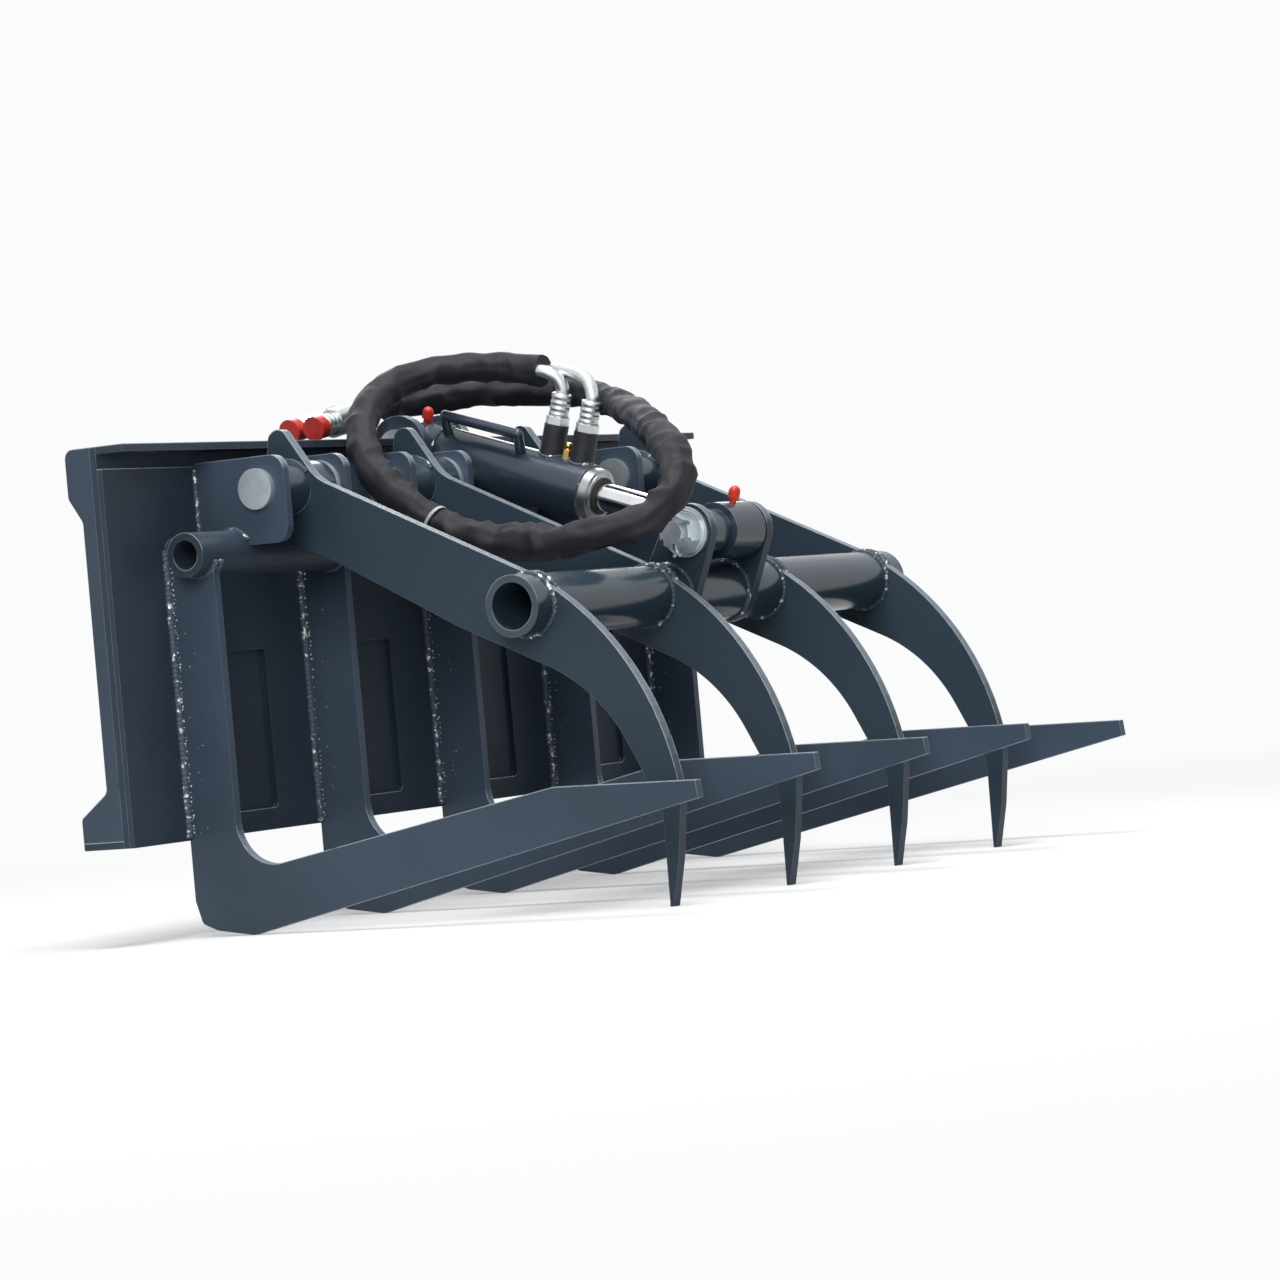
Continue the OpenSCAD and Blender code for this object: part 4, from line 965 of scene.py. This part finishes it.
def outer_barrel_r():
    """Outer radius of the barrel."""
    return (high("barrel").x - low("barrel").x) / 2


class GRAPPLE_OT_hardware(bpy.types.Operator):
    """Finishes the pins, washers, nuts and bushings"""

    bl_idname = "grapple.hardware"
    bl_label = "Pins and Washers"

    def execute(self, context):
        zinc = plated_steel("pin_plating", (0.62, 0.68, 0.72), 0.38)
        pins = [f"hinge_pin_{i}" for i in range(1, 5)]
        dress(zinc, "hinge_end_washers", "hinge_split_pins", "rear_pin", "rear_circlip", "clevis_pin",
              "clevis_castle_nut", "clevis_split_pin", "thrust_washers", *pins)
        dress(grooved_plating("washer_plating", (0.74, 0.8, 0.83), middle("clevis_pin")), "clevis_washers")
        dress(turned_metal("bushing_bronze", (0.55, 0.38, 0.17)), "hinge_bushings")
        return {"FINISHED"}


class GRAPPLE_OT_welds(bpy.types.Operator):
    """Lays the weld beads of the frame, the jaw and the cylinder"""

    bl_idname = "grapple.welds"
    bl_label = "Weld Beads"

    def execute(self, context):
        paint = context.scene.grapple_paint
        weld = context.scene.grapple_weld
        bright = tuple(weld.bright)
        frame_weld = weld_metal("frame_weld", tuple(paint.frame_colour), bright, weld.bare_share)
        jaw_weld = weld_metal("jaw_weld", tuple(paint.jaw_colour), scaled(bright, 0.8), weld.bare_share)
        self.tine_beads(frame_weld, 1.2 * weld.radius)
        self.tine_spatter(weld_metal("spatter_metal", tuple(paint.frame_colour), bright, 1.0), weld.radius)
        self.frame_beads(frame_weld, weld.radius)
        self.jaw_beads(jaw_weld, weld.radius)
        self.cylinder_beads(jaw_weld, weld.radius)
        return {"FINISHED"}

    def tine_beads(self, material, radius):
        """A bead down both sides of each tine's back edge."""
        rng = random.Random(7)
        mesh = bmesh.new()
        bottom = low("back_sheet").z + BEAD_STOP
        for n, tine in enumerate(TINES):
            x = middle(tine).x
            half = (high(tine).x - low(tine).x) / 2
            top = high(tine).z - HORN_R
            for side in (-1, 1):
                points = []
                steps = 14
                for i in range(steps + 1):
                    z = bottom + (top - bottom) * i / steps
                    points.append(Vector((x + side * half + rng.uniform(-0.3, 0.3) * MM, SHEET_Y, z)))
                add_bead(mesh, points, radius, 2 * n + side)
        finished(mesh, "tine_welds", material, "frame")

    def tine_spatter(self, material, radius):
        """Bright drops that the torch left along the front of each tine bead, in loose clusters."""
        rng = random.Random(11)
        mesh = bmesh.new()
        bottom = low("back_sheet").z + 2 * BEAD_STOP
        for n, tine in enumerate(TINES):
            top = high(tine).z - 2 * HORN_R
            for x in (low(tine).x, high(tine).x):
                z = bottom
                while z < top:
                    crowd = noise.noise(Vector((z * 22, n, x)))
                    z += rng.uniform(3, 9) * MM * (1.6 if crowd < 0 else 0.75)
                    ahead = radius + rng.uniform(0.4, 3.4) * MM
                    add_spatter(mesh, Vector((x, SHEET_Y - ahead, z)), rng.uniform(0.6, 1.7) * MM)
                for _ in range(12):
                    place = Vector((x, SHEET_Y - rng.uniform(10, 30) * MM, rng.uniform(bottom, top)))
                    add_spatter(mesh, place, rng.uniform(0.4, 0.9) * MM)
        finished(mesh, "weld_spatter", material, "frame")

    def frame_beads(self, material, radius):
        """Beads of the ears, rear lugs, top tube, flange, hook and gussets."""
        mesh = bmesh.new()
        tube = middle("top_tube")
        tube_r = (high("top_tube").z - low("top_tube").z) / 2
        lug_foot = 46 * MM
        seed = 40
        for pair in EAR_PAIRS:
            for inner in (low(pair).x, low(pair).x + EAR_T, high(pair).x - EAR_T, high(pair).x):
                add_bead(mesh, ring_points(tube, tube_r, inner, 16, 150), radius * 0.8, seed)
                sheet_top = high("back_sheet").z - BEAD_STOP
                add_bead(mesh, [Vector((inner, SHEET_Y, z)) for z in (low(pair).z + EAR_R, sheet_top)],
                         radius * 0.8, seed + 1)
                seed += 2
        for tine in TINES:
            for x in (low(tine).x, high(tine).x):
                add_bead(mesh, ring_points(tube, tube_r, x, -163, 56), radius * 0.8, seed)
                seed += 1
        for lug in ("rear_lug_near", "rear_lug_far"):
            for x in (low(lug).x, high(lug).x):
                points = [Vector((x, SHEET_Y, low(lug).z + up)) for up in (BEAD_STOP, lug_foot)]
                add_bead(mesh, points, radius * 0.8, seed)
                seed += 1
        self.back_beads(mesh, radius * 0.8, seed)
        finished(mesh, "frame_welds", material, "frame")

    def back_beads(self, mesh, radius, seed):
        """Beads behind the plate."""
        end = high("end_gussets").x - GUSSET_T
        flange_top = high("bottom_flange").z
        hook_low = high("top_hook").z - HOOK_T
        past_notch = 62 * MM
        y = PLATE_BACK_Y
        add_bead(mesh, [Vector((-end + radius, y, flange_top)), Vector((end - radius, y, flange_top))],
                 radius, seed)
        for side in (-1, 1):
            add_bead(mesh, [Vector((side * past_notch, y, hook_low)),
                            Vector((side * (end - radius), y, hook_low))], radius, seed + 1)
            add_bead(mesh, [Vector((side * end, y, flange_top + radius)),
                            Vector((side * end, y, hook_low - radius))], radius, seed + 2)

    def jaw_beads(self, material, radius):
        """Rings where the cross tube passes the arms and lugs, and round the pivot bosses."""
        mesh = bmesh.new()
        tube = middle("cross_tube")
        tube_r = (high("cross_tube").z - low("cross_tube").z) / 2
        boss_r = (high("pivot_bosses").z - low("pivot_bosses").z) / 2
        seed = 100
        for arm in ARMS:
            for x in (low(arm).x, high(arm).x):
                add_bead(mesh, ring_points(tube, tube_r, x), radius * 0.8, seed, closed=True)
                add_bead(mesh, ring_points(HINGE, boss_r, x, 35, 150), radius * 0.7, seed + 1)
                seed += 2
        for lug in ("clevis_lug_near", "clevis_lug_far"):
            for x in (low(lug).x, high(lug).x):
                add_bead(mesh, ring_points(tube, tube_r, x), radius * 0.75, seed, closed=True)
                seed += 1
        finished(mesh, "jaw_welds", material, "jaw")

    def cylinder_beads(self, material, radius):
        """Rings at both ends of the barrel and round the foot of each port boss."""
        mesh = bmesh.new()
        barrel_r = outer_barrel_r()
        barrel_steps = 150
        port_steps = 70
        for distance, ring_r, bead_r in ((CAP_END, barrel_r, 0.5 * radius),
                                         (BARREL_END, barrel_r - GLAND_STEP, 0.3 * radius)):
            loop = ring_round(port_point(distance, 0), ALONG_X, CYLINDER_UP, ring_r, barrel_steps)
            add_bead(mesh, loop, bead_r, 160, closed=True)
        for distance in PORTS:
            loop = []
            for k in range(port_steps):
                angle = 2 * math.pi * k / port_steps
                aside = PORT_R * math.sin(angle)
                height = math.sqrt(barrel_r ** 2 - aside ** 2)
                loop.append(port_point(distance + PORT_R * math.cos(angle), height, aside))
            add_bead(mesh, loop, 0.55 * radius, 170, closed=True)
        finished(mesh, "cylinder_welds", material, "barrel")


def add_spatter(mesh, place, radius):
    """Adds a drop of weld spatter."""
    bmesh.ops.create_icosphere(mesh, subdivisions=1, radius=radius, matrix=Matrix.Translation(place))


class GRAPPLE_OT_stage(bpy.types.Operator):
    """Lays the floor and sets the lamps and the world"""

    bl_idname = "grapple.stage"
    bl_label = "Stage"

    def execute(self, context):
        stage = context.scene.grapple_stage
        self.floor(tuple(stage.floor_colour))
        self.world(context.scene)
        context.scene.view_settings.view_transform = "Standard"
        self.lamp("overhead_softbox", (-0.5, -0.3, 3.2), (0, 0, 0.3), 1.5, 96)
        self.lamp("key_softbox", (-4.0, -1.5, 2.2), (0, 0, 0.3), 2.2, 96)
        self.lamp("rim_softbox", (2.8, 2.4, 2.2), (0, 0, 0.3), 2.0, 52)
        return {"FINISHED"}

    def floor(self, rgb):
        mesh = bmesh.new()
        bmesh.ops.create_circle(mesh, cap_ends=True, segments=96, radius=30)
        finish = Finish("floor_surface", Roughness=0.9, Specular_IOR_Level=0.1)
        speck = finish.noise(3, 3)
        apart = finish.vector("LENGTH", finish.place, out="Value")
        seen = finish.seen()
        pale = finish.mix(speck, colour(scaled(rgb, 0.985)), colour(rgb))
        finish.feed(Base_Color=finish.mix(seen, colour(scaled(rgb, 0.4)), pale))
        glow = finish.node("ShaderNodeEmission", None, {"Color": (0.96, 0.965, 0.97, 1), "Strength": 1.0})
        body = Value(finish, finish.shader.outputs[0])
        share = 0.25 + 0.75 * apart.ramp(0.9, 3.0)
        mixed = finish.node("ShaderNodeMixShader", None, {0: share * seen, 1: body, 2: glow})
        finish.tree.links.new(mixed.socket, finish.tree.nodes["Material Output"].inputs["Surface"])
        data = bpy.data.meshes.new("studio_floor")
        mesh.to_mesh(data)
        mesh.free()
        data.materials.append(finish.material)
        floor = bpy.data.objects.new("studio_floor", data)
        bpy.context.scene.collection.objects.link(floor)

    def world(self, scene):
        world = bpy.data.worlds.new("studio_world")
        scene.world = world
        world.use_nodes = True
        shading = Shading(world.node_tree)
        back = shading.tree.nodes["Background"]
        strength = shading.node("ShaderNodeMapRange", None,
                                {"Value": shading.seen(), "To Min": 0.2, "To Max": 1.0})
        shading.tree.links.new(strength.socket, back.inputs["Strength"])
        back.inputs["Color"].default_value = (0.96, 0.965, 0.97, 1)

    def lamp(self, name, place, target, size, power):
        data = bpy.data.lights.new(name, "AREA")
        data.shape = "SQUARE"
        data.size = size
        data.energy = power
        lamp = bpy.data.objects.new(name, data)
        lamp.location = place
        lamp.rotation_euler = (Vector(target) - Vector(place)).to_track_quat("-Z", "Y").to_euler()
        bpy.context.scene.collection.objects.link(lamp)


OPERATORS = (
    GRAPPLE_OT_camera, GRAPPLE_OT_hose_ends, GRAPPLE_OT_sleeve, GRAPPLE_OT_frame_paint, GRAPPLE_OT_jaw_paint,
    GRAPPLE_OT_cylinder, GRAPPLE_OT_hardware, GRAPPLE_OT_welds, GRAPPLE_OT_stage,
)
SETTINGS = {
    "grapple_paint": GrapplePaint, "grapple_hose": GrappleHose, "grapple_weld": GrappleWeld,
    "grapple_stage": GrappleStage,
}


class GRAPPLE_PT_panel(bpy.types.Panel):
    """Lists the grapple's settings and steps"""

    bl_idname = "GRAPPLE_PT_panel"
    bl_label = "Log Grapple"
    bl_space_type = "VIEW_3D"
    bl_region_type = "UI"
    bl_category = "Grapple"

    def draw(self, context):
        for name, group in SETTINGS.items():
            box = self.layout.box()
            for prop in group.__annotations__:
                box.prop(getattr(context.scene, name), prop)
        for operator in OPERATORS:
            self.layout.operator(operator.bl_idname)


def register():
    for group in SETTINGS.values():
        bpy.utils.register_class(group)
    for operator in (*OPERATORS, GRAPPLE_PT_panel):
        bpy.utils.register_class(operator)
    for name, group in SETTINGS.items():
        setattr(bpy.types.Scene, name, bpy.props.PointerProperty(type=group))


def unregister():
    for name in SETTINGS:
        delattr(bpy.types.Scene, name)
    for operator in (GRAPPLE_PT_panel, *OPERATORS):
        bpy.utils.unregister_class(operator)
    for group in SETTINGS.values():
        bpy.utils.unregister_class(group)


def main():
    register()
    bpy.ops.grapple.camera()
    bpy.ops.grapple.hose_ends()
    bpy.ops.grapple.sleeve()
    bpy.ops.grapple.frame_paint()
    bpy.ops.grapple.jaw_paint()
    bpy.ops.grapple.cylinder()
    bpy.ops.grapple.hardware()
    bpy.ops.grapple.welds()
    bpy.ops.grapple.stage()


if __name__ == "__main__":
    main()
